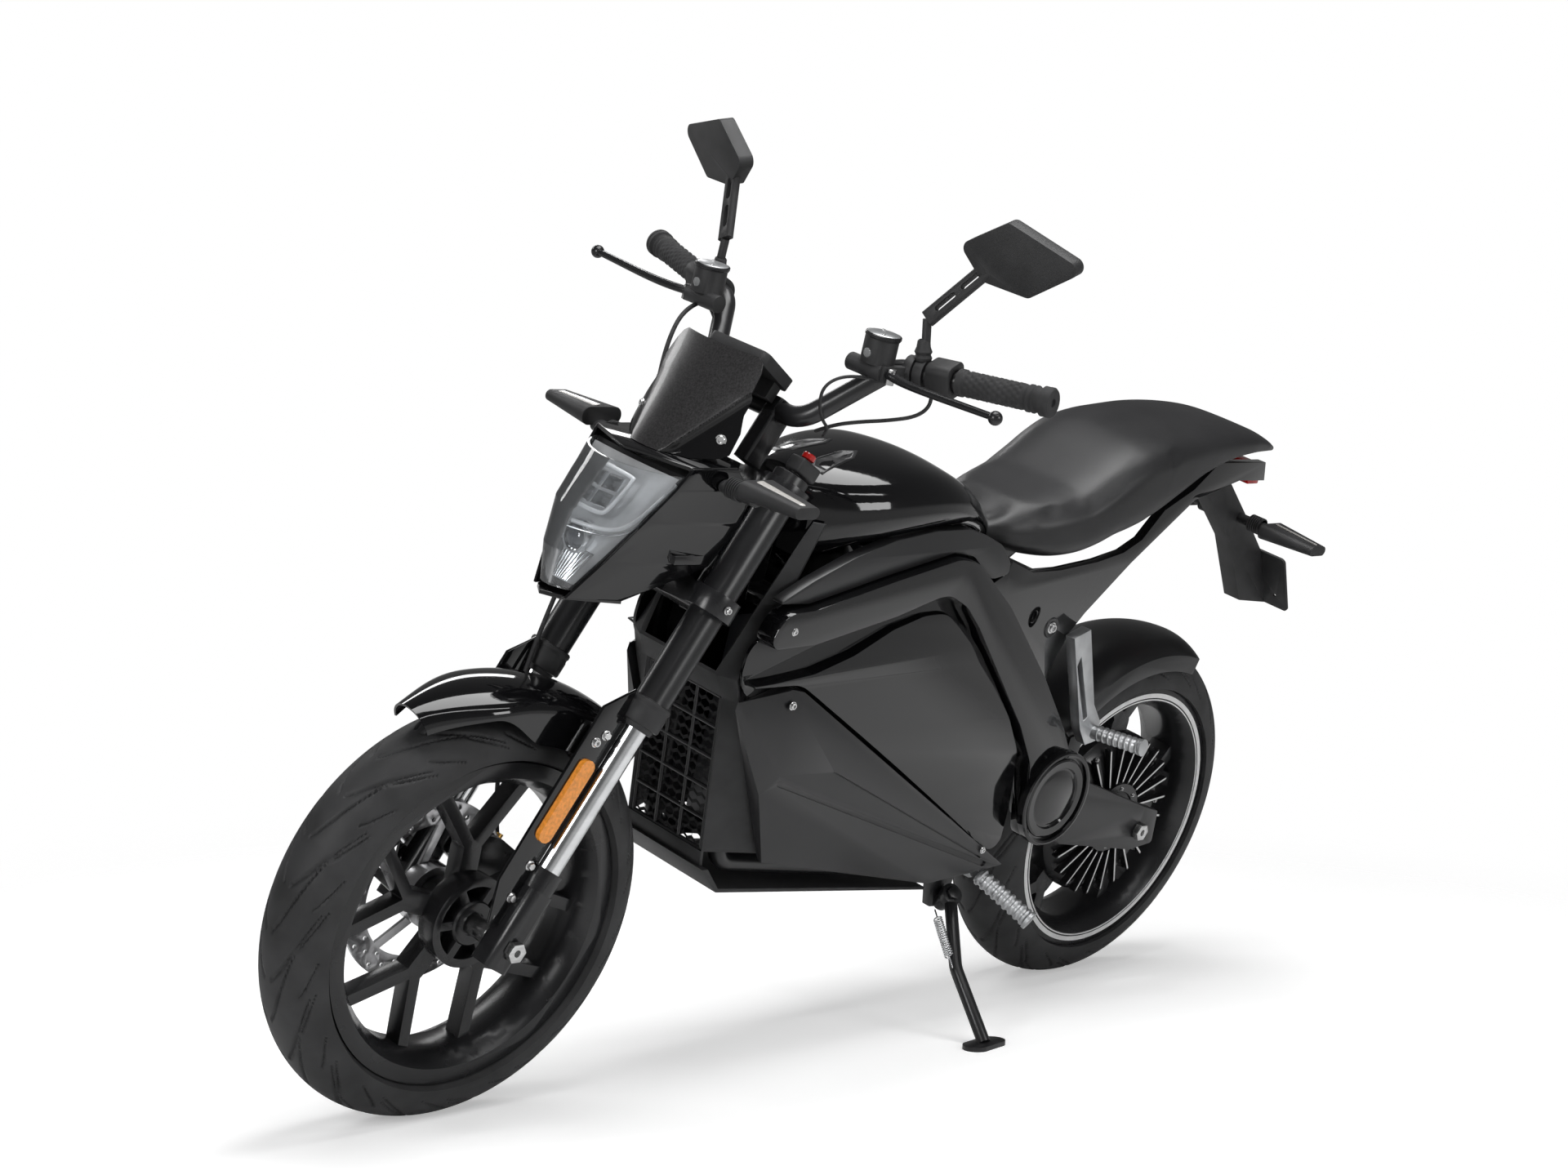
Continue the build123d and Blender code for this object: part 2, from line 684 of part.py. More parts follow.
# Frame: head tube, a beam each side that bends down to the swingarm pivot, and cross tubes
beam_outline = [(1034, 748), (977, 751), (820, 786), (690, 812), (647, 805), (542, 729),
                (414, 610), (330, 520), (262, 430), (270, 345), (345, 322), (391, 467),
                (442, 533), (526, 619), (606, 701), (648, 737), (693, 757), (719, 755),
                (800, 732), (959, 700), (1056, 697)]
with BuildPart() as main_frame:
    with BuildSketch(across(frame_half)):
        add(rounded(beam_outline, 70))
    extrude(amount=beam_thickness, taper=-6)
    mirror(about=Plane.XZ)
    with BuildSketch(fork_plane(lower_clamp_at + clamp_thickness / 2 + 0.5, 0, -fork_offset)):
        Circle(head_tube_radius)
    extrude(amount=upper_clamp_at - lower_clamp_at - clamp_thickness - 1)
    with BuildSketch(Plane.XY.offset(722)):
        with Locations((965, 0)):
            Rectangle(50, 2 * frame_half - beam_thickness)
    extrude(amount=26)
    with BuildSketch(section_at(960)):
        with Locations((0, 760)):
            Rectangle(44, 120)
    extrude(amount=110)
    for x, z, radius in ((612, 752, 14), (shock_top.X, shock_top.Z, shock_pin)):
        with BuildSketch(across(frame_half - 2)):
            with Locations((x, z)):
                Circle(radius)
        extrude(amount=2 * frame_half - 4)
    with BuildSketch(across(frame_half)):
        with Locations((swing_pivot.X, swing_pivot.Z)):
            Circle(11)
    extrude(amount=2 * frame_half)
    with BuildSketch(fork_plane(lower_clamp_at, 0, -fork_offset)):
        Circle(stem_radius + running_gap)
    extrude(amount=upper_clamp_at - lower_clamp_at, mode=Mode.SUBTRACT)

# Lower cradle that carries the battery, the foot pegs and the side stand
cradle_half = 66.0
cradle_radius = 13.0
with BuildPart() as lower_cradle:
    for y in (cradle_half, -cradle_half):
        bar_along([(972, y, 722 - seat_gap), (972, y, 345), (560, y, 281), (420, y, 290), (352, y, 352)],
                  cradle_radius, 30)
        bar_along([(466, y, 285), (shock_top.X, y, shock_top.Z - shock_pin - seat_gap)], 10, 5)
    # Columns: place along the machine, height, half length
    for x, z, half in ((972, 380, cradle_half), (560, 281, cradle_half), (418, 281, 92)):
        with BuildSketch(across(half)):
            with Locations((x, z)):
                Circle(11)
        extrude(amount=2 * half)
    with BuildSketch(across(84)):
        Polygon((425, 292), (492, 284), (470, 212), (432, 208), align=None)
    extrude(amount=14)
    with BuildSketch(Plane(origin=stand_pivot - stand_axis * 30, z_dir=stand_axis)):
        Circle(14)
    extrude(amount=30 - 7.3)
    with BuildSketch(Plane(origin=stand_pivot - stand_axis * 12, z_dir=stand_axis)):
        Circle(6)
    extrude(amount=19.3)
    with BuildSketch(Plane(origin=stand_pivot + stand_axis * 7.3, z_dir=stand_axis)):
        RegularPolygon(11, 6)
    extrude(amount=6)

# Battery and electronics: one plain block on the cradle
battery_floor = 346.0
with BuildPart() as battery_pack:
    with BuildSketch(Plane.XY.offset(battery_floor)):
        with Locations((690, 0)):
            Rectangle(400, 160)
    extrude(amount=668 - battery_floor)

# Tank cover, lofted smoothly between upright sections
# Columns: place along the machine, half width, underside, widest line, ridge
tank_sections = [
    (958, 70, 801, 850, 914),
    (915, 104, 819, 866, 926),
    (850, 126, 838, 882, 936),
    (780, 134, 850, 892, 940),
    (710, 130, 855, 892, 930),
    (645, 114, 848, 874, 906),
    (590, 90, 829, 848, 878),
    (552, 66, 802, 816, 850),
]
tank_drop = 0.7
with BuildPart() as tank_cover:
    for x, half, under, widest, ridge in tank_sections:
        rise = ridge - widest
        with BuildSketch(section_at(x)):
            with BuildLine():
                under = under - tank_drop
                Spline((-half * 0.86, under), (-half, widest), (-half * 0.86, widest + rise * 0.52),
                       (-half * 0.5, ridge - rise * 0.12), (0, ridge),
                       (half * 0.5, ridge - rise * 0.12), (half * 0.86, widest + rise * 0.52),
                       (half, widest), (half * 0.86, under))
                Line((half * 0.86, under), (-half * 0.86, under))
            make_face()
    loft()

# Trim between the tank and the frame beam
trim_outline = [(1040, 757), (1020, 768), (978, 789), (905, 819), (828, 841), (744, 852),
                (671, 852), (626, 840), (585, 824), (556, 797), (552, 778), (591, 770),
                (645, 809), (690, 816), (820, 790), (977, 755)]
with BuildPart() as tank_trim:
    with BuildSketch(across(frame_half - 14)):
        add(rounded(trim_outline, 30))
    extrude(amount=20)
    mirror(about=Plane.XZ)

# Side panels: a recessed band inside the frame beam, the crowned main panel and, ahead and
# below it, a panel of flat facets
recess_outline = [(1056, 704), (959, 706), (800, 738), (719, 760), (693, 762), (644, 742),
                  (600, 705), (520, 624), (436, 538), (400, 480), (380, 400), (372, 330),
                  (420, 330), (560, 400), (1062, 628)]
main_outline = [(1073, 639), (1012, 641), (932, 649), (855, 670), (779, 702), (714, 718),
                (669, 719), (624, 699), (582, 665), (534, 616), (467, 545), (424, 487),
                (402, 400), (386, 306), (456, 343), (701, 488), (955, 637)]
facet_outline = [(1071, 628), (1052, 610), (974, 631), (946, 625), (390, 298), (436, 292),
                 (551, 281), (931, 360)]
main_crown = 1500.0
facet_planes = [
    three_point_plane((959, 137, 636), (977, 137, 498), (1062, 112, 500)),
    three_point_plane((977, 138, 498), (436, 137, 304), (931, 118, 360)),
    three_point_plane((851, 140, 500), (451, 139, 317), (700, 132, 492)),
]
with BuildPart() as upper_side_panels:
    recess_face = frame_half - beam_thickness - seat_gap
    with BuildSketch(across(recess_face)):
        add(rounded(recess_outline, 50))
    extrude(amount=panel_wall)
    with BuildSketch(across(panel_half)):
        add(rounded(main_outline, 70))
    extrude(amount=panel_half - recess_face + 1, taper=-8)
    with BuildSketch(section_at(300)):
        with Locations((panel_half - main_crown, 520)):
            Circle(main_crown)
    extrude(amount=900, mode=Mode.INTERSECT)
    mirror(about=Plane.XZ)

with BuildPart() as lower_side_panels:
    with BuildSketch(across(frame_half)):
        Polygon(*facet_outline, align=None)
    extrude(amount=30)
    for plane in facet_planes:
        split(bisect_by=plane, keep=Keep.BOTTOM)
    for start, end, width in (((960, 492), (436, 304), 9), ((851, 500), (451, 317), 2)):
        with BuildSketch(across(frame_half + 2)):
            link(start, end, width)
        extrude(amount=9, mode=Mode.SUBTRACT)
    mirror(about=Plane.XZ)

# Front shroud: walls that open out towards the side panels, with the grille in its mouth
# Columns: height, front edge and its half width, rear edge and its half width
shroud_wall = 5.0
shroud_sections = [
    (858, 966, 88, 952, 96),
    (745, 1034, 88, 1000, 100),
    (640, 1076, 76, 1060, 104),
    (604, 1050, 76, 1046, 104),
    (368, 1014, 76, 930, 104),
]
mouth_half = 76.0
with BuildPart() as front_shroud:
    for lower, higher in zip(shroud_sections[1:], shroud_sections[:-1]):
        for z, front_x, front_half, rear_x, rear_half in (lower, higher):
            with BuildSketch(Plane.XY.offset(z)):
                Polygon((front_x, front_half), (rear_x, rear_half),
                        (rear_x - shroud_wall, rear_half - 1), (front_x - shroud_wall,
                        front_half - shroud_wall), align=None)
        loft(ruled=True)
    mirror(about=Plane.XZ)
    with BuildSketch(across(mouth_half)):
        Polygon((1050, 604), (1076, 640), (1071, 643), (1044, 608), align=None)
        Polygon((1014, 368), (1009, 368), (1005, 345), (1010, 345), align=None)
    extrude(amount=2 * mouth_half)

with BuildPart() as grille:
    with BuildSketch(across(mouth_half - shroud_wall - seat_gap)):
        Polygon((1044, 602), (1009, 369), (1003, 369), (1038, 602), align=None)
    extrude(amount=2 * (mouth_half - shroud_wall - seat_gap))

with BuildPart() as belly_pan:
    with BuildSketch(across(88)):
        Polygon((1016, 345), (976, 305), (563, 253), (500, 246), (500, 251), (563, 258),
                (973, 311), (1004, 345), align=None)
    extrude(amount=176)

# Seat in two levels, ruled between upright sections
# Columns: place, half width, underside, edge height, crown
seat_sections = [
    (541, 60, 790, 812, 838),
    (470, 96, 776, 815, 862),
    (380, 124, 776, 836, 880),
    (310, 128, 796, 880, 922),
    (240, 126, 812, 925, 958),
    (170, 122, 850, 934, 972),
    (60, 112, 915, 948, 984),
    (-60, 96, 938, 952, 978),
    (-165, 58, 922, 930, 940),
]
with BuildPart() as seat:
    for x, half, under, edge, crown in seat_sections:
        with BuildSketch(section_at(x)):
            Polygon((-half * 0.9, under), (half * 0.9, under), (half, edge), (half * 0.55, crown),
                    (-half * 0.55, crown), (-half, edge), align=None)
    loft(ruled=True)

# Tail cover: a beam each side that runs from the frame up to the tail lamp, drawn in a plane
# that closes in towards the tail
tail_slant = 4.3
tail_start = Vector(580, 121, 0)
tail_side = Plane(origin=tail_start, x_dir=(cos(radians(tail_slant)), sin(radians(tail_slant)), 0),
                  z_dir=(sin(radians(tail_slant)), -cos(radians(tail_slant)), 0))
tail_outline = [(580, 762), (542, 738), (466, 667), (392, 596), (360, 578), (350, 618),
                (328, 664), (300, 692), (206, 766), (124, 822), (64, 862), (-60, 888),
                (-140, 884), (-128, 916), (20, 921.8), (76, 880), (148, 850), (192, 804),
                (236, 786), (304, 776), (403, 770), (478, 772), (541, 794), (546, 776)]
with BuildPart() as tail_cover:
    with BuildSketch(tail_side):
        with Locations((-tail_start.X, 0)):
            Polygon(*tail_outline, align=None)
    extrude(amount=16)
    mirror(about=Plane.XZ)
    with BuildSketch(section_at(-118)):
        with Locations((0, 893)):
            Rectangle(116, 20)
    extrude(amount=40)
    with BuildSketch(section_at(380)):
        with Locations((0, 735)):
            Rectangle(186, 22)
    extrude(amount=30)

with BuildPart() as tail_lamp:
    with BuildSketch(Plane.XY.offset(872)):
        with Locations((-134, 0)):
            Rectangle(30, 100)
    extrude(amount=34)

plate_normal = Vector(-0.86, 0, 0.5).normalized()
plate_face = Plane(origin=(-300, 0, 690), x_dir=(0, 1, 0), z_dir=plate_normal)
plate_hole_radius = 3.2
plate_bolts = [(40, 30), (-40, 30)]
plate_holes = [plate_face.from_local_coords(Vector(x, y, 2)) for x, y in plate_bolts]
with BuildPart() as plate_holder:
    with BuildSketch(across(16)):
        Polygon((-114, 882.7), (-84, 882.7), (-60, 850), (-170, 760), (-250, 650), (-328, 642),
                (-272, 738), (-200, 800), (-117, 868), align=None)
    extrude(amount=32)
    with BuildSketch(plate_face):
        RectangleRounded(130, 110, 8)
    extrude(amount=4)
    with BuildSketch(plate_face):
        with Locations(*plate_bolts):
            Circle(plate_hole_radius)
    extrude(amount=4, mode=Mode.SUBTRACT)

with BuildPart() as rear_signals:
    for side in (1, -1):
        with BuildSketch(Plane(origin=(-180, side * 16.3, 800), x_dir=(1, 0, 0), z_dir=(0, side, 0))):
            Ellipse(11, 8)
        extrude(amount=66)
        with BuildSketch(Plane(origin=(-180, side * 78, 800), x_dir=(1, 0, 0), z_dir=(0, side, 0))):
            SlotCenterToCenter(44, 26)
        with BuildSketch(Plane(origin=(-180, side * 176, 800), x_dir=(1, 0, 0), z_dir=(0, side, 0))):
            SlotCenterToCenter(26, 16)
        loft()

# Swingarm
arm_outline = [(330, 446), (260, 428), (159, 392), (-6, 336), (-44, 326), (-52, 268), (6, 262),
               (207, 296), (330, 356), (352, 405)]
with BuildPart() as swingarm:
    with BuildSketch(across(swing_half)):
        Polygon(*arm_outline, align=None)
        fillet(vertices(), 6)
    extrude(amount=arm_thickness)
    mirror(about=Plane.XZ)
    with BuildSketch(across(swing_half)):
        with Locations((swing_pivot.X, swing_pivot.Z)):
            Circle(27)
    extrude(amount=2 * swing_half)
    for y in (24, -16):
        with BuildSketch(across(y)):
            link((swing_pivot.X, swing_pivot.Z), (shock_foot.X, shock_foot.Z), 30)
        extrude(amount=8)
    with BuildSketch(across(24)):
        with Locations((shock_foot.X, shock_foot.Z)):
            Circle(shock_pin)
    extrude(amount=48)
    with BuildSketch(across(swing_half + 1)):
        with Locations((swing_pivot.X, swing_pivot.Z)):
            Circle(11.1)
        with Locations((rear_axle.X, rear_axle.Z)):
            Circle(axle_radius + running_gap)
    extrude(amount=2 * swing_half + 2, mode=Mode.SUBTRACT)

shock_eye = 16.0
with BuildPart() as rear_shock:
    for end in (shock_top, shock_foot):
        with BuildSketch(across(15)):
            with Locations((end.X, end.Z)):
                Circle(shock_eye)
        extrude(amount=30)
    bar_along([shock_top * 0.95 + shock_foot * 0.05, shock_foot * 0.95 + shock_top * 0.05], 12, 5)
    bar_along([shock_top * 0.86 + shock_foot * 0.14, shock_foot * 0.8 + shock_top * 0.2], 27, 5)
    with BuildSketch(across(16)):
        with Locations((shock_top.X, shock_top.Z), (shock_foot.X, shock_foot.Z)):
            Circle(shock_pin + 0.1)
    extrude(amount=32, mode=Mode.SUBTRACT)

hugger_half = 80.0
with BuildPart() as hugger:
    with BuildSketch(turned_plane(rear_axle, 38)):
        add(guard_profile(318, 296, 268, hugger_half, 3))
    revolve(axis=Axis(rear_axle, (0, -1, 0)), revolution_arc=68)
    with BuildSketch(across(swing_half - arm_thickness - seat_gap)):
        Polygon((186, 478), (222, 470), (222, 385), (200, 385), align=None)
    extrude(amount=swing_half - arm_thickness - seat_gap - hugger_half + 3)
    mirror(about=Plane.XZ)

with BuildPart() as rear_caliper:
    with BuildSketch(across(rear_disc_y + 16)):
        with Locations((-20, 296 + 92)):
            RectangleRounded(90, 44, 8)
    extrude(amount=34)
    with BuildSketch(across(rear_disc_y + 4)):
        with Locations((0, rear_axle.Z)):
            Circle(rear_disc_radius + 6)
    extrude(amount=8, mode=Mode.SUBTRACT)
    with BuildSketch(across(rear_disc_y - 12)):
        Polygon((-30, 372), (20, 372), (20, 345.1), (-6, 336.3), (-30, 330), align=None)
    extrude(amount=10)

# Passenger peg brackets: cast forks that hang from the tail beams
bracket_thickness = 18.0
with BuildPart() as peg_brackets:
    with BuildSketch(tail_side.offset(-bracket_thickness - seat_gap)):
        with Locations((-tail_start.X, 0)):
            Polygon((340, 660), (300, 672), (228, 540), (196, 508), (190, 474), (222, 470),
                    (250, 500), align=None)
            Polygon((306, 628), (296, 612), (238, 520), (246, 512), (310, 612), align=None,
                    mode=Mode.SUBTRACT)
    extrude(amount=bracket_thickness)
    bar_along([(206, 108, 490), (196, 200, 500)], 11, 5)
    mirror(about=Plane.XZ)

with BuildPart() as rider_pegs:
    for side in (1, -1):
        with BuildSketch(Plane(origin=(418, side * (92 + seat_gap), 281), z_dir=(0, side, 0))):
            Circle(15)
        extrude(amount=16)
        bar_along([(418, side * 102, 279), (385, side * 212, 236)], 12, 5)

with BuildPart() as pivot_covers:
    with BuildSketch(across(frame_half + 14)):
        with Locations((swing_pivot.X, swing_pivot.Z)):
            Circle(78)
    extrude(amount=13.7)
    mirror(about=Plane.XZ)

# How the machine stands: the front is turned about the steering axis, then a lean and a
# small pitch bring both tyres and the stand's foot onto one floor
steer_frame = Location(Plane(origin=steer_point, x_dir=steer_forward, z_dir=steer_up))
steer_place = steer_frame * Location((0, 0, 0), (0, 0, park_steer)) * steer_frame.inverse()
steered_axle = (steer_place * Location(front_axle)).position
steered_along = (steer_place * Location(front_axle + Vector(0, 1, 0))).position - steered_axle


def floor_up(pitch):
    """Upward direction of the floor, seen from the upright machine."""
    lean = radians(park_lean)
    return Vector(-cos(lean) * sin(pitch), -sin(lean), cos(lean) * cos(pitch))


def lowest_of(axle, along, radius, crown, up):
    """Height of a tyre's lowest point along the upward direction."""
    return axle.dot(up) - (radius - crown) * sqrt(1 - along.dot(up) ** 2) - crown


park_pitch = 0.0
for attempt in range(4):
    up = floor_up(park_pitch)
    front_low = lowest_of(steered_axle, steered_along, front_tyre_radius, front_tyre_crown, up)
    rear_low = lowest_of(rear_axle, Vector(0, 1, 0), rear_tyre_radius, rear_tyre_crown, up)
    park_pitch += (front_low - rear_low) / (wheelbase * cos(radians(park_lean)))
up = floor_up(park_pitch)
floor_level = lowest_of(rear_axle, Vector(0, 1, 0), rear_tyre_radius, rear_tyre_crown, up)

# Side stand: a bent leg whose foot lies flat on that floor
foot_x = 511.0
foot_y = 279.0
foot_thickness = 7.0
stand_leg_radius = 10.0
stand_eye_radius = 17.0
stand_eye_thickness = 14.0
stand_pin_radius = 6.0
foot_z = (floor_level - foot_x * up.X - foot_y * up.Y) / up.Z
foot_point = Vector(foot_x, foot_y, foot_z)
stand_knee = Vector(495, 180, 158)
with BuildPart() as side_stand:
    leg_start = stand_pivot + (stand_knee - stand_pivot).normalized() * 15
    bar_along([leg_start, stand_knee, foot_point + up * (foot_thickness - 1)],
              stand_leg_radius, 60)
    with BuildSketch(Plane(origin=stand_pivot - stand_axis * (stand_eye_thickness / 2),
                           z_dir=stand_axis)):
        Circle(stand_eye_radius)
    extrude(amount=stand_eye_thickness)
    with BuildSketch(Plane(origin=foot_point, x_dir=(1, 0.1, 0), z_dir=up)):
        SlotCenterToCenter(44, 40)
    extrude(amount=foot_thickness)
    with BuildSketch(Plane(origin=stand_pivot - stand_axis * 20, z_dir=stand_axis)):
        Circle(stand_pin_radius + running_gap)
    extrude(amount=40, mode=Mode.SUBTRACT)

with BuildPart() as stand_spring:
    spring_top = stand_pivot + Vector(34, 4, -18)
    spring_foot = stand_knee + Vector(16.8, 7.1, 5.3)
    bar_along([spring_top, spring_foot], 7, 5)

# Write every piece: its file name, the piece and whether it turns with the steering
steered_pieces = {
    "front_tyre": front_tyre, "front_rim": front_rim, "front_brake_disc": front_brake_disc,
    "front_axle": front_axle_shaft, "fork_outer_tubes": fork_outer_tubes,
    "fork_inner_tubes": fork_inner_tubes, "axle_lugs": axle_lugs, "fork_clamps": fork_clamps,
    "handlebar": handlebar, "grips": grips, "switch_housings": switch_housings,
    "master_cylinders": master_cylinders, "levers": levers, "mirrors": mirrors,
    "display": display, "headlight_lens": headlight_lens,
    "headlight_housing": headlight_housing, "nose_fairing": nose_fairing,
    "flyscreen": flyscreen, "front_signals": front_signals, "front_fender": front_fender,
    "fender_brackets": fender_brackets, "side_reflectors": side_reflectors,
    "front_caliper": front_caliper,
}
fixed_pieces = {
    "rear_tyre": rear_tyre, "rear_rim": rear_rim, "rear_brake_disc": rear_brake_disc,
    "rear_axle": rear_axle_shaft, "main_frame": main_frame, "lower_cradle": lower_cradle,
    "battery_pack": battery_pack, "tank_cover": tank_cover, "tank_trim": tank_trim,
    "upper_side_panels": upper_side_panels, "lower_side_panels": lower_side_panels,
    "front_shroud": front_shroud, "grille": grille, "belly_pan": belly_pan, "seat": seat,
    "tail_cover": tail_cover, "tail_lamp": tail_lamp, "plate_holder": plate_holder,
    "rear_signals": rear_signals, "swingarm": swingarm, "rear_shock": rear_shock,
    "hugger": hugger, "rear_caliper": rear_caliper, "peg_brackets": peg_brackets,
    "rider_pegs": rider_pegs, "pivot_covers": pivot_covers, "side_stand": side_stand,
    "stand_spring": stand_spring,
}
lean_place = Location((0, 0, 0), (-park_lean, 0, 0)) * Location((0, 0, 0), (0, degrees(park_pitch), 0))
lean_place = Location((0, 0, -floor_level)) * lean_place
for name, piece in steered_pieces.items():
    piece.part.move(steer_place)
everything = {**steered_pieces, **fixed_pieces}
for piece in everything.values():
    piece.part.move(lean_place)
boxes = [piece.part.bounding_box() for piece in everything.values()]
middle_x = (min(box.min.X for box in boxes) + max(box.max.X for box in boxes)) / 2
middle_y = (min(box.min.Y for box in boxes) + max(box.max.Y for box in boxes)) / 2
centre_place = Location((-middle_x, -middle_y, 0))
park_place = centre_place * lean_place
os.makedirs("parts", exist_ok=True)
for name, piece in everything.items():
    piece.part.move(centre_place)
    piece.part.label = name
    export_step(piece.part, "parts/" + name + ".step")
print("pitch", round(degrees(park_pitch), 3), "middle", round(middle_x, 1), round(middle_y, 1))
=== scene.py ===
# Looks of the electric moped: materials, tread, seat, lamps, small trim, light and camera.
import json
import math

import bmesh
import bpy
from mathutils import Matrix, Quaternion, Vector
from mathutils.bvhtree import BVHTree

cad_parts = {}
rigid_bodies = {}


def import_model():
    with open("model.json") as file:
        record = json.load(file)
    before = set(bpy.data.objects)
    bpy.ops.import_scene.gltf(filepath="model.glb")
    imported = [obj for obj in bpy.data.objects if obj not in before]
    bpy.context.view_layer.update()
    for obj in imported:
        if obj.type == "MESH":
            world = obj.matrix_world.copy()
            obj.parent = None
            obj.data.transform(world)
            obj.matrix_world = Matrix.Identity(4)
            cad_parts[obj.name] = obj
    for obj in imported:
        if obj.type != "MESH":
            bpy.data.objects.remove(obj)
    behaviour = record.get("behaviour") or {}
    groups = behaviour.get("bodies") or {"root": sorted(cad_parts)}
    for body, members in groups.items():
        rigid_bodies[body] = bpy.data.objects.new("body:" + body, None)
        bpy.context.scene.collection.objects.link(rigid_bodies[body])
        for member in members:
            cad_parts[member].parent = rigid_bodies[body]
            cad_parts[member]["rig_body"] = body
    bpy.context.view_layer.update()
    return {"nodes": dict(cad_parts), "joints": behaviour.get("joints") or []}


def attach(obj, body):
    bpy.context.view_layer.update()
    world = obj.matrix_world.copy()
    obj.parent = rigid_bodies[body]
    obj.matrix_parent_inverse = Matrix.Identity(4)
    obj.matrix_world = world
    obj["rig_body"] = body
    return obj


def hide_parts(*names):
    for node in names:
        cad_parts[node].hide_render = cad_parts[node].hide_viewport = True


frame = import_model()
joints = {joint["name"]: joint for joint in frame["joints"]}
MM = 0.001
SIDES = ((1, "left"), (-1, "right"))

# The upright machine's frame, read from its joints: X forward, Y to its left, Z up from the
# ground under an upright machine, in millimetres.
RAKE = math.radians(28)
REAR_RADIUS = 296
FRONT_RADIUS = 293
WHEELBASE = 1385
across_axis = Vector(joints["rear_wheel_spin"]["axis"]).normalized()
steer_axis = Vector(joints["steering"]["axis"]).normalized()
fork_ahead = across_axis.cross(steer_axis).normalized()
ahead_axis = fork_ahead * math.cos(RAKE) - steer_axis * math.sin(RAKE)
up_axis = fork_ahead * math.sin(RAKE) + steer_axis * math.cos(RAKE)
rear_centre = Vector(joints["rear_wheel_spin"]["pos_m"])
steer_centre = Vector(joints["steering"]["pos_m"])
front_centre = Vector(joints["front_wheel_spin"]["pos_m"])
front_axis = Vector(joints["front_wheel_spin"]["axis"]).normalized()
level_axle = front_axis - steer_axis * front_axis.dot(steer_axis)
park_steer = math.atan2(steer_axis.dot(across_axis.cross(level_axle)),
                        across_axis.dot(level_axle))
steer_turn = Quaternion(steer_axis, park_steer)


def at(x, y, z):
    """Point of the upright machine, in the row frame."""
    return (rear_centre + ahead_axis * (x * MM) + across_axis * (y * MM)
            + up_axis * ((z - REAR_RADIUS) * MM))


def front(x, y, z):
    """The same for what turns with the steering."""
    return steer_centre + steer_turn @ (at(x, y, z) - steer_centre)


def fork(s, y, forward):
    """Point a distance up the fork from the front axle, to the left and ahead of its line."""
    return front(WHEELBASE - s * math.sin(RAKE) + forward * math.cos(RAKE), y,
                 FRONT_RADIUS + s * math.cos(RAKE) + forward * math.sin(RAKE))


# Materials
def new_node(tree, kind, values=None):
    """Shader node with the given values of its inputs."""
    made = tree.nodes.new("ShaderNode" + kind)
    for name, value in (values or {}).items():
        made.inputs[name].default_value = value
    return made


def join(tree, *rows):
    """Links between shader nodes. Rows: node, its output, node, its input."""
    for source, output, target, entry in rows:
        tree.links.new(source.outputs[output], target.inputs[entry])


def finish(name, colour, rough, metal=0.0, coat=0.0, bump=None, spots=None, uneven=0.05,
           stretch=(1, 1, 1), specular=0.5, alpha=1.0):
    """Procedural material. bump is (scale, strength); spots is (scale, amount) of colour change."""
    made = bpy.data.materials.new(name)
    made.use_nodes = True
    tree = made.node_tree
    shader = tree.nodes["Principled BSDF"]
    for entry, value in (("Metallic", metal), ("Coat Weight", coat), ("Coat Roughness", 0.04),
                         ("Specular IOR Level", specular), ("Alpha", alpha)):
        shader.inputs[entry].default_value = value
    place = new_node(tree, "TexCoord")
    scale = new_node(tree, "Mapping", {"Scale": stretch})
    join(tree, (place, "Object", scale, "Vector"))
    if spots:
        size, amount = spots
        cloud = new_node(tree, "TexNoise", {"Scale": size, "Detail": 5})
        tone = new_node(tree, "ValToRGB")
        dark, light = tone.color_ramp.elements
        dark.position, light.position = 0.35, 0.65
        dark.color = (*(c * (1 - amount) for c in colour), 1)
        light.color = (*(min(1, c * (1 + amount) + 0.002) for c in colour), 1)
        join(tree, (scale, "Vector", cloud, "Vector"), (cloud, "Fac", tone, "Fac"),
             (tone, "Color", shader, "Base Color"))
    else:
        shader.inputs["Base Color"].default_value = (*colour, 1)
    worn = new_node(tree, "TexNoise", {"Scale": 22, "Detail": 6})
    span = new_node(tree, "MapRange",
                    {"To Min": max(0.0, rough - uneven), "To Max": rough + uneven})
    join(tree, (scale, "Vector", worn, "Vector"), (worn, "Fac", span, "Value"),
         (span, "Result", shader, "Roughness"))
    if bump:
        grain = new_node(tree, "TexNoise", {"Scale": bump[0], "Detail": 4})
        relief = new_node(tree, "Bump", {"Strength": bump[1], "Distance": 0.0006})
        join(tree, (scale, "Vector", grain, "Vector"), (grain, "Fac", relief, "Height"),
             (relief, "Normal", shader, "Normal"))
    return made


def leather():
    """Black seat cover with a fine cell grain."""
    made = finish("seat_leather", (0.014, 0.014, 0.015), 0.42, spots=(5, 0.25), uneven=0.06)
    tree = made.node_tree
    cells = new_node(tree, "TexVoronoi", {"Scale": 420})
    cells.feature = "DISTANCE_TO_EDGE"
    relief = new_node(tree, "Bump", {"Strength": 0.35, "Distance": 0.0005})
    join(tree, (tree.nodes["Texture Coordinate"], "Object", cells, "Vector"),
         (cells, "Distance", relief, "Height"),
         (relief, "Normal", tree.nodes["Principled BSDF"], "Normal"))
    return made


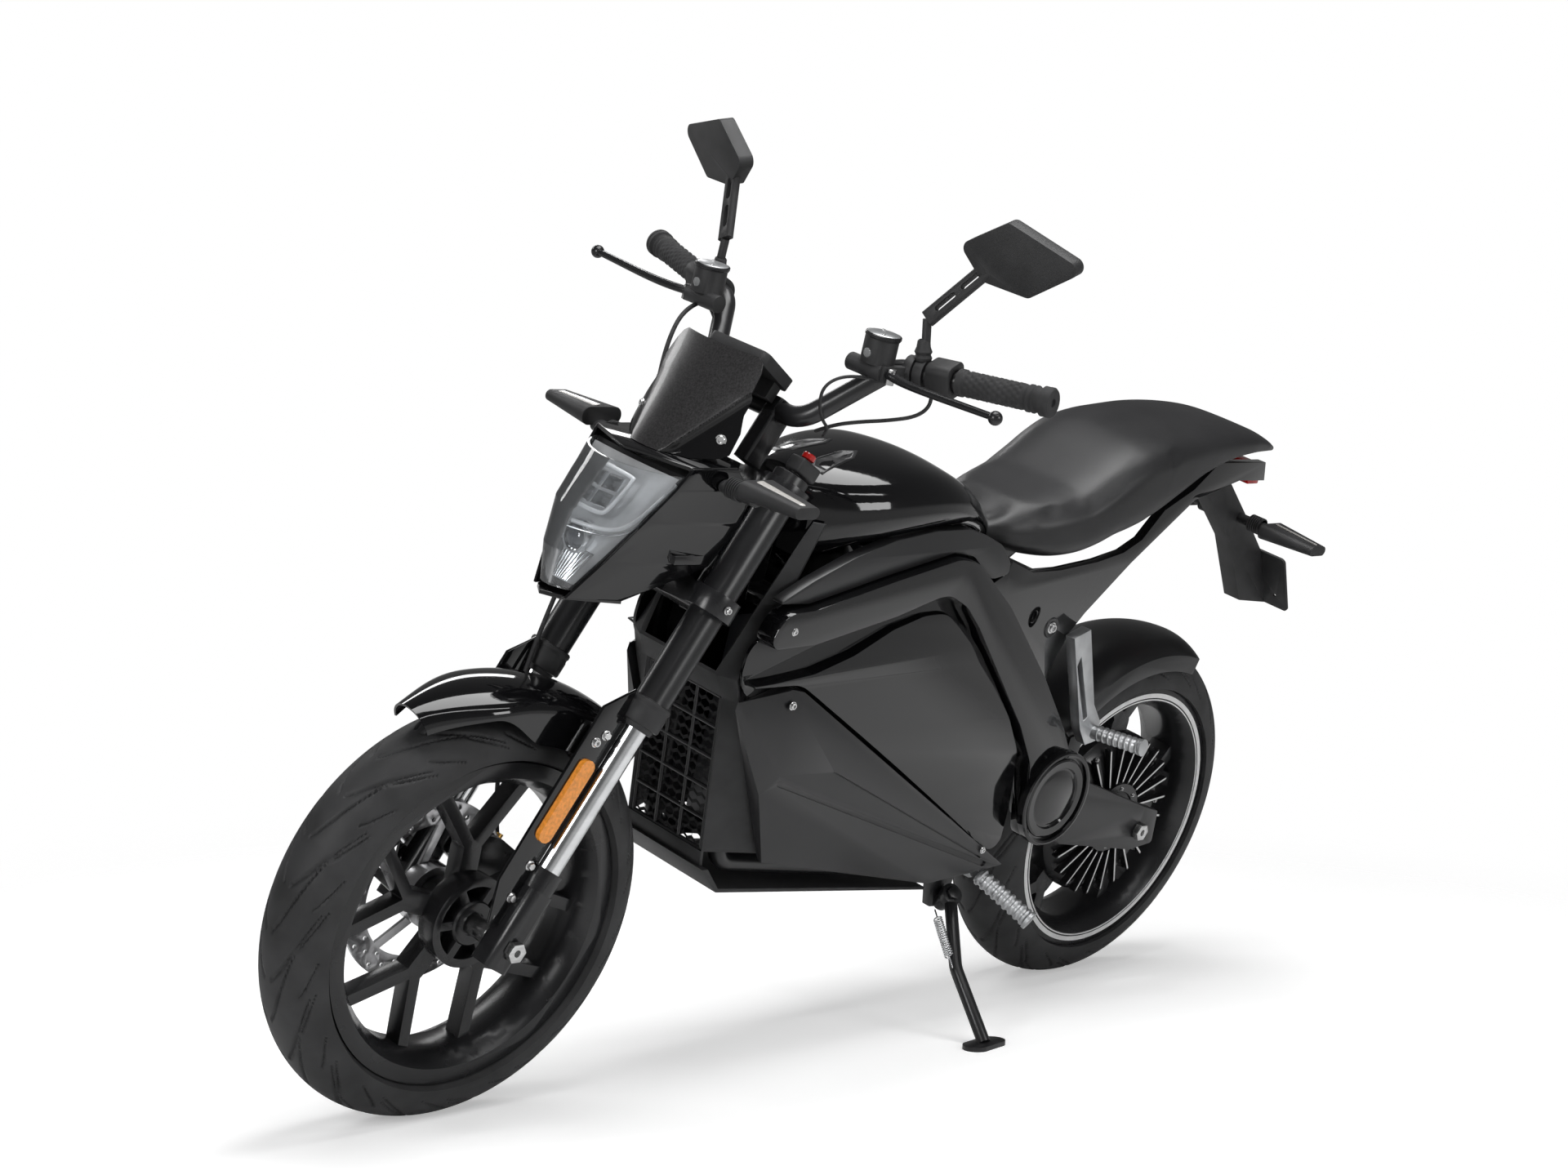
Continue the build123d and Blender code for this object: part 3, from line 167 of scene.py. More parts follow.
def clear_plastic():
    """Headlight lens: see-through head on, a mirror at a glance."""
    made = finish("headlight_clear", (0.8, 0.82, 0.84), 0.05, coat=0.5, spots=(40, 0.03),
                  uneven=0.02, specular=0.9, bump=(120, 0.04))
    tree = made.node_tree
    rim = new_node(tree, "Fresnel", {"IOR": 1.45})
    share = new_node(tree, "MapRange", {"To Min": 0.02})
    through = new_node(tree, "BsdfTransparent", {"Color": (0.96, 0.97, 0.98, 1)})
    gloss = new_node(tree, "BsdfGlossy", {"Roughness": 0.03})
    both = new_node(tree, "MixShader")
    milk = new_node(tree, "MixShader", {"Fac": 0.05})
    join(tree, (rim, "Fac", share, "Value"), (share, "Result", both, "Fac"),
         (through, "BSDF", both, 1), (gloss, "BSDF", both, 2), (both, "Shader", milk, 1),
         (tree.nodes["Principled BSDF"], "BSDF", milk, 2),
         (milk, "Shader", tree.nodes["Material Output"], "Surface"))
    return made


GLOSS = finish("gloss_black_body", (0.004, 0.004, 0.0045), 0.07, coat=0.25, uneven=0.03,
               bump=(3, 0.02))
SATIN = finish("satin_black_body", (0.013, 0.013, 0.014), 0.32, bump=(900, 0.10), spots=(3, 0.15))
MATT = finish("grained_black_plastic", (0.017, 0.017, 0.018), 0.55, bump=(1400, 0.45),
              spots=(30, 0.2))
CAST = finish("black_painted_casting", (0.011, 0.011, 0.012), 0.26, bump=(500, 0.12),
              spots=(8, 0.2))
TUBE = finish("black_tube_paint", (0.012, 0.012, 0.013), 0.30, bump=(260, 0.06), spots=(14, 0.2))
RUBBER = finish("tyre_rubber", (0.020, 0.020, 0.021), 0.62, bump=(1100, 0.35), spots=(18, 0.3),
                uneven=0.10)
GRIP = finish("grip_rubber", (0.022, 0.022, 0.023), 0.7, bump=(900, 0.5), spots=(40, 0.25))
SILVER = finish("cast_silver", (0.55, 0.56, 0.57), 0.34, metal=0.9, bump=(700, 0.3),
                spots=(25, 0.12), uneven=0.08)
STEEL = finish("bright_steel", (0.62, 0.62, 0.62), 0.24, metal=1.0, bump=(300, 0.05),
               spots=(40, 0.1), stretch=(1, 1, 14))
CHROME = finish("polished_tube", (0.72, 0.73, 0.74), 0.16, metal=1.0, spots=(12, 0.06),
                bump=(90, 0.03), stretch=(1, 1, 5))
DISC = finish("ground_disc", (0.52, 0.52, 0.53), 0.30, metal=1.0, spots=(60, 0.12),
              bump=(500, 0.12), uneven=0.1)
AMBER = finish("amber_reflector", (0.85, 0.30, 0.03), 0.22, coat=0.5, spots=(200, 0.15),
               bump=(500, 0.5))
RED = finish("red_lens", (0.45, 0.012, 0.01), 0.16, coat=0.6, spots=(90, 0.2), bump=(300, 0.3))
GLASS = finish("clear_lens", (0.93, 0.95, 0.96), 0.05, alpha=0.22, spots=(4, 0.02), uneven=0.02,
               specular=0.6)
WHITE = finish("rim_stripe_film", (0.72, 0.72, 0.72), 0.35, spots=(60, 0.05), bump=(400, 0.1))
MIRROR = finish("mirror_silver", (0.86, 0.87, 0.88), 0.03, metal=1.0, uneven=0.01)
BRASS = finish("plated_fitting", (0.72, 0.42, 0.12), 0.3, metal=1.0, spots=(80, 0.2),
               bump=(200, 0.2))
BEZEL = finish("lamp_bezel_grey", (0.58, 0.59, 0.60), 0.34, metal=0.3, coat=0.4, spots=(20, 0.2),
               bump=(600, 0.1))
LIGHT_BAR = finish("lamp_light_bar", (0.93, 0.94, 0.95), 0.12, coat=0.6, spots=(60, 0.05),
                   bump=(250, 0.2))
DARK_GLASS = finish("projector_glass", (0.03, 0.035, 0.045), 0.04, coat=1.0, spots=(20, 0.3),
                    uneven=0.02, specular=0.9)
SCREEN_PANEL = finish("metallic_black_panel", (0.035, 0.034, 0.035), 0.30, metal=0.35, coat=0.2,
                      spots=(420, 0.35), bump=(700, 0.12))
SIGNAL_LENS = finish("signal_lens", (0.62, 0.60, 0.57), 0.10, alpha=0.85, coat=0.8,
                     spots=(300, 0.1), bump=(500, 0.35))
GREY = finish("grey_block", (0.06, 0.06, 0.065), 0.5, bump=(300, 0.3), spots=(10, 0.2))
SEAT = leather()
CLEAR = clear_plastic()

# Which material each CAD node shows
surface_of = {
    "front_rim": CAST, "rear_rim": CAST, "front_brake_disc": DISC, "rear_brake_disc": DISC,
    "front_axle": STEEL, "rear_axle": STEEL, "fork_outer_tubes": TUBE,
    "fork_inner_tubes": CHROME, "axle_lugs": CAST, "fork_clamps": CAST, "handlebar": TUBE,
    "grips": GRIP, "switch_housings": MATT, "master_cylinders": MATT, "levers": CAST,
    "mirrors": MATT, "display": MATT, "headlight_lens": CLEAR, "headlight_housing": SATIN,
    "nose_fairing": GLOSS, "flyscreen": GLOSS, "front_signals": MATT, "front_fender": GLOSS,
    "fender_brackets": GLOSS, "side_reflectors": AMBER, "front_caliper": CAST,
    "main_frame": GLOSS, "lower_cradle": TUBE, "battery_pack": GREY, "tank_cover": GLOSS,
    "tank_trim": SATIN, "upper_side_panels": GLOSS, "lower_side_panels": SATIN,
    "front_shroud": MATT,
    "grille": MATT, "belly_pan": MATT, "seat": SEAT, "tail_cover": GLOSS, "tail_lamp": RED,
    "plate_holder": MATT, "rear_signals": MATT, "swingarm": SATIN, "rear_shock": TUBE,
    "hugger": SATIN, "rear_caliper": CAST, "peg_brackets": SILVER, "rider_pegs": SILVER,
    "pivot_covers": SATIN, "side_stand": TUBE, "stand_spring": STEEL,
    "front_tyre": RUBBER, "rear_tyre": RUBBER,
}
for name, node in frame["nodes"].items():
    material = surface_of[name]
    node.data.materials.clear()
    node.data.materials.append(material)


# Pieces
def show(name, data, material=None):
    """Object in the scene with a mesh, curve, light or camera."""
    made = bpy.data.objects.new(name, data)
    bpy.context.scene.collection.objects.link(made)
    if material:
        data.materials.append(material)
    return made


def square_to(axis):
    """Two directions square to an axis and to each other."""
    side = axis.orthogonal().normalized()
    return side, axis.cross(side)


def band(count, row, base=0):
    """Faces between rows of points that close into a ring."""
    return [(base + n * row + k, base + m * row + k, base + m * row + k + 1,
             base + n * row + k + 1)
            for n, m in zip(range(count), [*range(1, count), 0]) for k in range(row - 1)]


def piece(name, points, faces, material, body, sharp=40):
    """Mesh piece with its points in the row frame, welded and with its faces outward."""
    mesh = bpy.data.meshes.new(name)
    mesh.from_pydata([tuple(p) for p in points], [], faces)
    shape = bmesh.new()
    shape.from_mesh(mesh)
    bmesh.ops.remove_doubles(shape, verts=shape.verts, dist=1e-5)
    bmesh.ops.recalc_face_normals(shape, faces=shape.faces)
    shape.to_mesh(mesh)
    shape.free()
    made = show(name, mesh, material)
    for face in mesh.polygons:
        face.use_smooth = True
    mesh.set_sharp_from_angle(angle=math.radians(sharp))
    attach(made, body)
    return made


def settle(made):
    """Apply a piece's modifiers to its mesh."""
    graph = bpy.context.evaluated_depsgraph_get()
    mesh = bpy.data.meshes.new_from_object(made.evaluated_get(graph))
    made.modifiers.clear()
    made.data = mesh
    for face in mesh.polygons:
        face.use_smooth = True
    mesh.set_sharp_from_angle(angle=math.radians(40))
    return made


def soften(node, width, sharp=30, cutter=None):
    """Copy of a CAD node with its hard edges rounded, which it replaces. Width in mm."""
    source = frame["nodes"][node]
    shape = bmesh.new()
    for vertex in source.data.vertices:
        shape.verts.new(vertex.co)
    shape.verts.ensure_lookup_table()
    for face in source.data.polygons:
        shape.faces.new([shape.verts[n] for n in face.vertices])
    bmesh.ops.remove_doubles(shape, verts=shape.verts, dist=2e-5)
    mesh = bpy.data.meshes.new(node + "_form")
    shape.to_mesh(mesh)
    shape.free()
    made = show(node + "_form", mesh, surface_of[node])
    if cutter:
        cut = made.modifiers.new("cut", "BOOLEAN")
        cut.object = cutter
        cut.solver = "EXACT"
        settle(made)
        bpy.data.objects.remove(cutter)
    shape = bmesh.new()
    shape.from_mesh(made.data)
    bmesh.ops.dissolve_limit(shape, angle_limit=math.radians(1.2), verts=shape.verts,
                             edges=shape.edges)
    shape.to_mesh(made.data)
    shape.free()
    edges = made.modifiers.new("edges", "BEVEL")
    edges.width = width * MM
    edges.segments = 2
    edges.limit_method = "ANGLE"
    edges.angle_limit = math.radians(sharp)
    settle(made)
    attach(made, source["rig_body"])
    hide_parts(node)
    return made


def turned(name, profile, centre, axis, material, body, count=64, sharp=40):
    """Piece turned round an axis. Profile rows: radius, place along the axis, in mm."""
    axis = Vector(axis).normalized()
    side, other = square_to(axis)
    points = []
    for n in range(count):
        turn = 2 * math.pi * n / count
        way = side * math.cos(turn) + other * math.sin(turn)
        points += [centre + way * (r * MM) + axis * (along * MM) for r, along in profile]
    return piece(name, points, band(count, len(profile)), material, body, sharp=sharp)


def skin(name, rows, material, body, loop=False, ends=False, wall=None, sharp=40):
    """Piece skinned over rows of points in the row frame, open or with a wall in mm."""
    points = [p for row in rows for p in row]
    wide = len(rows[0])
    faces = []
    for n in range(len(rows) - 1):
        for k in range(wide if loop else wide - 1):
            m = (k + 1) % wide
            faces.append((n * wide + k, n * wide + m, (n + 1) * wide + m, (n + 1) * wide + k))
    if ends:
        faces += [tuple(range(wide)), tuple(range((len(rows) - 1) * wide, len(rows) * wide))]
    made = piece(name, points, faces, material, body, sharp=sharp)
    if wall:
        thick = made.modifiers.new("wall", "SOLIDIFY")
        thick.thickness = wall * MM
        thick.offset = -1
        settle(made)
    return made


def line(name, points, radius, material, body, kind="NURBS"):
    """Round bar, wire or hose along points in the row frame. Radius in mm."""
    curve = bpy.data.curves.new(name, "CURVE")
    curve.dimensions = "3D"
    curve.bevel_depth = radius * MM
    curve.bevel_resolution = 4
    curve.resolution_u = 10
    curve.use_fill_caps = True
    spline = curve.splines.new(kind)
    spline.points.add(len(points) - 1)
    for spot, point in zip(spline.points, points):
        spot.co = (*point, 1)
    if kind == "NURBS":
        spline.order_u = 3
        spline.use_endpoint_u = True
    made = show(name, curve, material)
    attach(made, body)
    return made


def hose(name, points, radius, material, body):
    """Held cable or hose of a steady thickness."""
    made = line(name, points, radius, material, body)
    probe = made.copy()
    probe.data = made.data.copy()
    probe.data.bevel_depth = 0
    bpy.context.scene.collection.objects.link(probe)
    graph = bpy.context.evaluated_depsgraph_get()
    route = bpy.data.meshes.new_from_object(probe.evaluated_get(graph))
    bpy.data.objects.remove(probe)
    return made


def coil(name, start, end, radius, wire, turns, material, body):
    """Coil spring between two points in the row frame. Radius and wire in mm."""
    run = end - start
    side, other = square_to(run.normalized())
    points = []
    steps = int(turns * 16)
    for n in range(steps + 1):
        share = n / steps
        turn = 2 * math.pi * turns * share
        points.append(start + run * share
                      + (side * math.cos(turn) + other * math.sin(turn)) * (radius * MM))
    return line(name, points, wire, material, body, kind="POLY")


def bolts(name, rows, body, material, place):
    """Bolt heads in one piece. Rows: centre, outward direction, radius, height and number of
    sides, where 24 is a round socket head."""
    points, faces = [], []
    for centre, outward, radius, height, sides in rows:
        axis = outward.normalized()
        side, other = square_to(axis)
        hollow = 0.5 if sides == 24 else 0.0
        shells = [(24, [(radius * 1.3, -0.4), (radius * 1.3, 1.0), (radius * 1.22, 1.3),
                        (0.0, 1.3)]),
                  (sides, [(radius, 0.6), (radius, height * 0.8), (radius * 0.88, height),
                           (radius * 0.55, height), (radius * 0.5, height * (1 - hollow)),
                           (0.0, height * (1 - hollow))])]
        for count, profile in shells:
            faces += band(count, len(profile), len(points))
            for n in range(count):
                turn = 2 * math.pi * n / count
                way = side * math.cos(turn) + other * math.sin(turn)
                points += [place(*centre) + way * (r * MM) + axis * (h * MM) for r, h in profile]
    return piece(name, points, faces, material, body, sharp=28)


def tread_depth(turn, side, pattern):
    """How deep the tread is cut at an angle round the tyre and a place across it, in mm."""
    depth = 0.0
    pitch = 2 * math.pi / pattern["count"]
    for sign in (1, -1):
        across = side * sign
        phase = (turn + (0.5 * pitch if sign < 0 else 0)) % pitch
        for start, lean, low, high, width in pattern["cuts"]:
            if low < across < high:
                share = (across - low) / (high - low)
                centre = (start + lean * share ** 1.4) * pitch
                gap = abs((phase - centre + pitch / 2) % pitch - pitch / 2)
                taper = width * (0.35 + 0.65 * math.sin(math.pi * min(1, share * 0.9 + 0.12)))
                if gap < taper:
                    depth = max(depth, 2.6 * min(1.0, 2.4 * (1 - gap / taper)))
    return depth


def tyre(name, node, centre, axle, radius, width, flange, body, pattern):
    """Road tyre with its tread cut into the crown."""
    crown = width / 2
    shoulder = radius - crown
    section = [(216, flange - 2), (230, flange)]
    section += [(230 + (shoulder - 230) * k / 3, flange + (crown - flange) * k / 3)
                for k in range(1, 3)]
    steps = 44
    for k in range(steps + 1):
        angle = math.pi / 2 * (1 - k / steps)
        section.append((shoulder + crown * math.cos(angle), crown * math.sin(angle)))
    section += [(r, -y) for r, y in reversed(section[:-1])]
    outward = up_axis.cross(axle).cross(axle).normalized() * -1
    sideways = axle.cross(outward)
    count = 640
    points = []
    for n in range(count):
        turn = 2 * math.pi * n / count
        way = outward * math.cos(turn) - sideways * math.sin(turn)
        for r, y in section:
            cut = 0.0
            if r > shoulder + 4:
                lean = math.asin(max(-1.0, min(1.0, y / crown)))
                cut = tread_depth(turn, lean / (math.pi / 2), pattern)
            inward = cut / crown
            points.append(centre + way * ((r - (r - shoulder) * inward) * MM)
                          + axle * (y * (1 - inward) * MM))
    made = piece(name, points, band(count, len(section)), RUBBER, body)
    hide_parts(node)
    return made


# Cuts: start within the pitch, lean in pitches, from and to across (0 middle, 1 edge), half
# width in radians
front_pattern = {"count": 14, "cuts": [
    (0.05, 0.85, 0.10, 0.72, 0.020), (0.55, 0.95, 0.02, 0.50, 0.018),
    (0.42, 0.50, 0.46, 0.80, 0.016), (0.90, 0.45, 0.55, 0.84, 0.014)]}
rear_pattern = {"count": 13, "cuts": [
    (0.05, 0.80, 0.08, 0.70, 0.022), (0.55, 0.90, 0.02, 0.52, 0.020),
    (0.40, 0.50, 0.48, 0.80, 0.016), (0.88, 0.45, 0.58, 0.84, 0.014)]}
tyre("front_tyre_tread", "front_tyre", front_centre, front_axis, 293, 114, 43, "front_wheel",
     front_pattern)
tyre("rear_tyre_tread", "rear_tyre", rear_centre, across_axis, 296, 130, 53, "rear_wheel",
     rear_pattern)


# Wheels
def annulus(name, centre, axis, inner, outer, place, thickness, material, body):
    """Flat ring on a wheel, a distance out along its axle, in mm."""
    rim = [(inner, place), (inner, place + thickness), (outer, place + thickness), (outer, place)]
    return turned(name, rim, centre, axis, material, body, count=160)


def drill_pattern(name, centre, axis, place, rows, radius):
    """Cutter with one pin for each hole of a brake disc. Rows: radius, count, start in turns."""
    points, faces = [], []
    side, other = square_to(axis)
    for reach, count, start in rows:
        for n in range(count):
            turn = 2 * math.pi * (n / count + start)
            middle = centre + (side * math.cos(turn) + other * math.sin(turn)) * (reach * MM)
            base = len(points)
            for end in (place - 6, place + 6):
                for k in range(12):
                    spin = 2 * math.pi * k / 12
                    points.append(middle + axis * (end * MM)
                                  + (side * math.cos(spin) + other * math.sin(spin))
                                  * (radius * MM))
            faces += [(base + k, base + (k + 1) % 12, base + 12 + (k + 1) % 12, base + 12 + k)
                      for k in range(12)]
            faces += [tuple(range(base, base + 12)), tuple(range(base + 12, base + 24))]
    mesh = bpy.data.meshes.new(name)
    mesh.from_pydata([tuple(p) for p in points], [], faces)
    shape = bmesh.new()
    shape.from_mesh(mesh)
    bmesh.ops.recalc_face_normals(shape, faces=shape.faces)
    shape.to_mesh(mesh)
    shape.free()
    return show(name, mesh)


FRONT_DISC, REAR_DISC = (-66, 130), (-74, 110)
for node, centre, axis, (place, radius) in (
        ("front_brake_disc", front_centre, front_axis, FRONT_DISC),
        ("rear_brake_disc", rear_centre, across_axis, REAR_DISC)):
    rows = [(radius - 8, 18, 0.0), (radius - 17, 18, 1 / 36), (radius - 26, 18, 0.0)]
    soften(node, 0.4, cutter=drill_pattern(node + "_drill", centre, axis, place, rows, 3.2))
soften("front_rim", 1.6, sharp=35)
soften("rear_rim", 1.2, sharp=35)
MOTOR_RADIUS, MOTOR_HALF = 140, 56
for side, mark in SIDES:
    edge = side * 59.2
    annulus(f"rear_rim_stripe_{mark}", rear_centre, across_axis, 213.5, 221, edge, side * 0.5,
            WHITE, "rear_wheel")
    annulus(f"rear_rim_line_{mark}", rear_centre, across_axis, 209, 211, edge, side * 0.5,
            WHITE, "rear_wheel")
    annulus(f"motor_cover_ring_{mark}", rear_centre, across_axis, 46, 60, side * MOTOR_HALF,
            side * 1.5, CAST, "rear_wheel")
FIN_COUNT = 24


def fin_edges():
    """Bright machined edges of the motor's cooling fins, in one piece."""
    points, faces = [], []
    for side in (1, -1):
        for n in range(FIN_COUNT):
            start = math.radians(15 * n)
            end = math.radians(15 * n + 5)
            inner = Vector((math.cos(start), math.sin(start))) * 64
            outer = Vector((math.cos(end), math.sin(end))) * (MOTOR_RADIUS - 5)
            run = (outer - inner).normalized()
            wide = Vector((-run.y, run.x)) * 1.5
            base = len(points)
            for height in (MOTOR_HALF - 0.4, MOTOR_HALF + 0.35):
                for spot in (inner - wide, outer - wide, outer + wide, inner + wide):
                    points.append(at(spot.x, side * height, REAR_RADIUS + spot.y))
            faces += [(base, base + 1, base + 2, base + 3),
                      (base + 4, base + 5, base + 6, base + 7)]
            faces += [(base + k, base + (k + 1) % 4, base + 4 + (k + 1) % 4, base + 4 + k)
                      for k in range(4)]
    return piece("motor_fin_edges", points, faces, STEEL, "rear_wheel")


fin_edges()
wheel_bolts = [((52 * math.cos(math.radians(a)), side * (MOTOR_HALF + 1),
                 REAR_RADIUS + 52 * math.sin(math.radians(a))), across_axis * side, 2.6, 3, 24)
               for side in (1, -1) for a in range(0, 360, 45)]
wheel_bolts += [((128 * math.cos(math.radians(a)), side * 43,
                  REAR_RADIUS + 128 * math.sin(math.radians(a))), across_axis * side, 3, 4, 24)
                for side in (1, -1) for a in range(15, 375, 40)]
bolts("motor_bolts", wheel_bolts, "rear_wheel", STEEL, at)


def valve(name, centre, axis, reach, body):
    """Tyre valve through the rim's well."""
    side = axis.orthogonal().normalized()
    foot = centre + side * (reach * MM)
    turned(name, [(0, 0), (4.2, 0), (4.2, 6), (2.6, 8), (2.6, 26), (3.4, 27), (3.4, 34), (0, 35)],
           foot, -side, CHROME, body, count=20)


valve("front_valve", front_centre, front_axis, 188, "front_wheel")
valve("rear_valve", rear_centre, across_axis, 188, "rear_wheel")
turned("front_hub_ring", [(17, 42), (17, 45), (26, 46), (30, 45), (32, 42)], front_centre,
       front_axis, CAST, "front_wheel")

# Fork, front brake and mudguard
for node, width in (("fork_outer_tubes", 1.0), ("axle_lugs", 2.0), ("fork_clamps", 2.0),
                    ("front_caliper", 2.0), ("fender_brackets", 1.0), ("front_axle", 0.8),
                    ("rear_axle", 0.8), ("rear_caliper", 2.0)):
    soften(node, width)
# Running clearance in the wheel's hub
AXLE_SHARE = 0.985
for vertex in bpy.data.objects["front_axle_form"].data.vertices:
    offset = vertex.co - front_centre
    along = front_axis * offset.dot(front_axis)
    vertex.co = front_centre + along + (offset - along) * AXLE_SHARE
OUTER_BOTTOM, OUTER_TOP, TUBE_REACH = 335, 722, 106
for side, mark in SIDES:
    steps = [(25.2, 0), (26.4, 2), (26.4, 22), (25.6, 24), (25.6, 27), (26.8, 29), (26.8, 33),
             (25.2, 35)]
    turned(f"fork_seal_{mark}", [(r + 3, h + 0.5) for r, h in steps],
           fork(OUTER_BOTTOM, side * TUBE_REACH, 0), steer_axis, MATT, "steering")
    turned(f"fork_wiper_{mark}", [(17.7, -7), (22, -7), (24, 0), (17.7, 0)],
           fork(OUTER_BOTTOM, side * TUBE_REACH, 0), steer_axis, RUBBER, "steering")
    turned(f"fork_cap_{mark}", [(0, 7), (8, 7), (9, 6), (9, 2), (20, 2), (23.5, 0)],
           fork(OUTER_TOP, side * TUBE_REACH, 0), steer_axis, CAST, "steering")
plate_side = TUBE_REACH - 6 + 5
rows = []
for side in (1, -1):
    for s, forward in ((105, 32), (57, 30), (300, 40)):
        rows.append(((s, side * plate_side, forward), front_axis * side, 5.5, 6, 6))
    for place in (522, 694):
        rows.append(((place, side * 84, -22), -fork_ahead, 5, 7, 24))
        rows.append(((place, side * 140, 6), front_axis * side, 4.5, 5, 24))
bolts("fork_bolts", rows, "steering", STEEL, fork)


def mudguard(name, node, centre, angles, half_at, skirt_at, crown, shoulder, wall, body, place,
             material):
    """Arched mudguard whose width and skirts change along its length. Angles in degrees up
    from straight ahead, sizes in mm."""
    rows = []
    steps = 40
    for n in range(steps + 1):
        share = n / steps
        angle = math.radians(angles[0] + (angles[1] - angles[0]) * share)
        half, skirt = half_at(share), skirt_at(share)
        row = []
        for k in range(33):
            across = -1 + 2 * k / 32
            if abs(across) < 0.8:
                turn = across / 0.8 * math.pi / 2
                reach = shoulder + (crown - shoulder) * math.cos(turn)
                out = half * math.sin(turn)
            else:
                reach = shoulder - (abs(across) - 0.8) / 0.2 * (shoulder - skirt)
                out = math.copysign(half, across)
            row.append(place(centre[0] + reach * math.cos(angle), out,
                             centre[1] + reach * math.sin(angle)))
        rows.append(row)
    made = skin(name, rows, material, body, wall=wall, sharp=50)
    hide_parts(node)
    return made


def ease(share, start, end):
    """Smooth step from 0 to 1 between two shares."""
    t = min(1.0, max(0.0, (share - start) / (end - start)))
    return t * t * (3 - 2 * t)


mudguard("front_mudguard", "front_fender", (WHEELBASE, FRONT_RADIUS), (64, 131),
         lambda t: 30 + 38 * ease(t, -0.1, 0.32),
         lambda t: 303 - 40 * ease(t, 0.25, 0.5) - 3 * t, 334, 304, 3, "steering", front, GLOSS)
soften("hugger", 1.0)
rows = [((285, side * (TUBE_REACH - 0.5), 50), front_axis * side, 5.5, 5, 24) for side in (1, -1)]
bolts("mudguard_bolts", rows, "steering", STEEL, fork)


def reflector(name, side):
    """Ribbed amber reflector on the fork's plate."""
    rows = []
    for n in range(61):
        along = 138 + 124 * n / 60
        inset = max(0.0, abs(along - 200) - 50)
        half = math.sqrt(max(0.0, 12 ** 2 - inset ** 2)) if inset < 12 else 0.0
        lift = 8 + (0.5 if n % 2 else 0.0)
        out = plate_side + lift
        rows.append([fork(along, side * plate_side, 44 - half), fork(along, side * out, 44 - half),
                     fork(along, side * (out + 0.6), 44), fork(along, side * out, 44 + half),
                     fork(along, side * plate_side, 44 + half)])
    return skin(name, rows, AMBER, "steering", sharp=60)


made = reflector("reflector_left", 1)
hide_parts("side_reflectors")
reflector("reflector_right", -1)

# Handlebar controls
BAR_HALF, BAR_KNEE = 384, 168


def bar_at(y):
    """Point on the handlebar's swept end."""
    share = (abs(y) - BAR_KNEE) / (BAR_HALF - BAR_KNEE)
    return (966 + (908 - 966) * share, y, 1100 + (1121 - 1100) * share)


def bar_way(side):
    """Outward direction of the handlebar's swept end."""
    return (front(*bar_at(side * BAR_HALF)) - front(*bar_at(side * BAR_KNEE))).normalized()


def grip(name, side):
    """Rubber grip with end rings and rows of raised dashes."""
    count, steps, length = 72, 90, 130
    axis = bar_way(side)
    start = front(*bar_at(side * (BAR_HALF - 122)))
    side_way, other = square_to(axis)
    rows = []
    for k in range(steps + 1):
        along = length * k / steps
        row = []
        for n in range(count):
            turn = 2 * math.pi * n / count
            radius = 16.6
            if along < 8 or 102 < along < 106 or 110 < along < 114:
                radius = 18.4
            elif along > 122:
                radius = 20 - (along - 122) * 0.05
            elif 14 < along < 98:
                column = int((along - 14) // 7)
                dash = (along - 14) % 7 < 4.2
                lane = (n + (3 if column % 2 else 0)) % 6 < 3
                radius = 17.6 if dash and lane else 16.6
            row.append(start + axis * (along * MM) + (side_way * math.cos(turn)
                       + other * math.sin(turn)) * (radius * MM))
        rows.append(row)
    made = skin(name, rows, GRIP, "steering", loop=True, ends=True, sharp=60)
    turned(name + "_end", [(20, 0), (20, 4), (18, 6.5), (6, 6.5), (5, 3), (0, 3)],
           start + axis * (length * MM), axis, GRIP, "steering")
    return made


made = grip("grip_left", 1)
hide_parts("grips")
grip("grip_right", -1)
for node, width in (("switch_housings", 2.5), ("master_cylinders", 1.0), ("display", 1.5),
                    ("mirrors", 2.2), ("handlebar", 0.5), ("rear_signals", 2.0),
                    ("front_signals", 2.5)):
    soften(node, width)
# The display sits low behind the screen, as it isn't seen from the front
DISPLAY_SHARE, display_foot = 0.88, fork(800, 0, 60)
for vertex in bpy.data.objects["display_form"].data.vertices:
    vertex.co = display_foot + (vertex.co - display_foot) * DISPLAY_SHARE
for side, mark in SIDES:
    x, y, z = bar_at(side * 194)
    pot = front(x + 46, y - side * 24, z + 4)
    turned(f"reservoir_{mark}", [(0, 34), (23.6, 34), (23.6, 35), (24.6, 36), (24.6, 39.5),
                                 (23.6, 40.5), (0, 40.5)], pot, up_axis, CAST, "steering")
    turned(f"reservoir_cap_{mark}", [(0, 41.4), (20.6, 41.4), (22.2, 40.5), (22.2, 39)], pot,
           up_axis, SILVER, "steering")
    lid = [((x + 46 + dx, y - side * 24 + dy, z + 45.3), up_axis, 2, 1.6, 24)
           for dx, dy in ((12, 12), (-12, -12))]
    bolts(f"reservoir_screws_{mark}", lid, "steering", STEEL, front)
    window = front(x + 46 + 22.4, y - side * 24, z + 18)
    turned(f"reservoir_window_{mark}", [(0, 1.6), (5, 1.6), (6.2, 0.8), (6.2, -1)], window,
           steer_turn @ ahead_axis, GLASS, "steering", count=32)


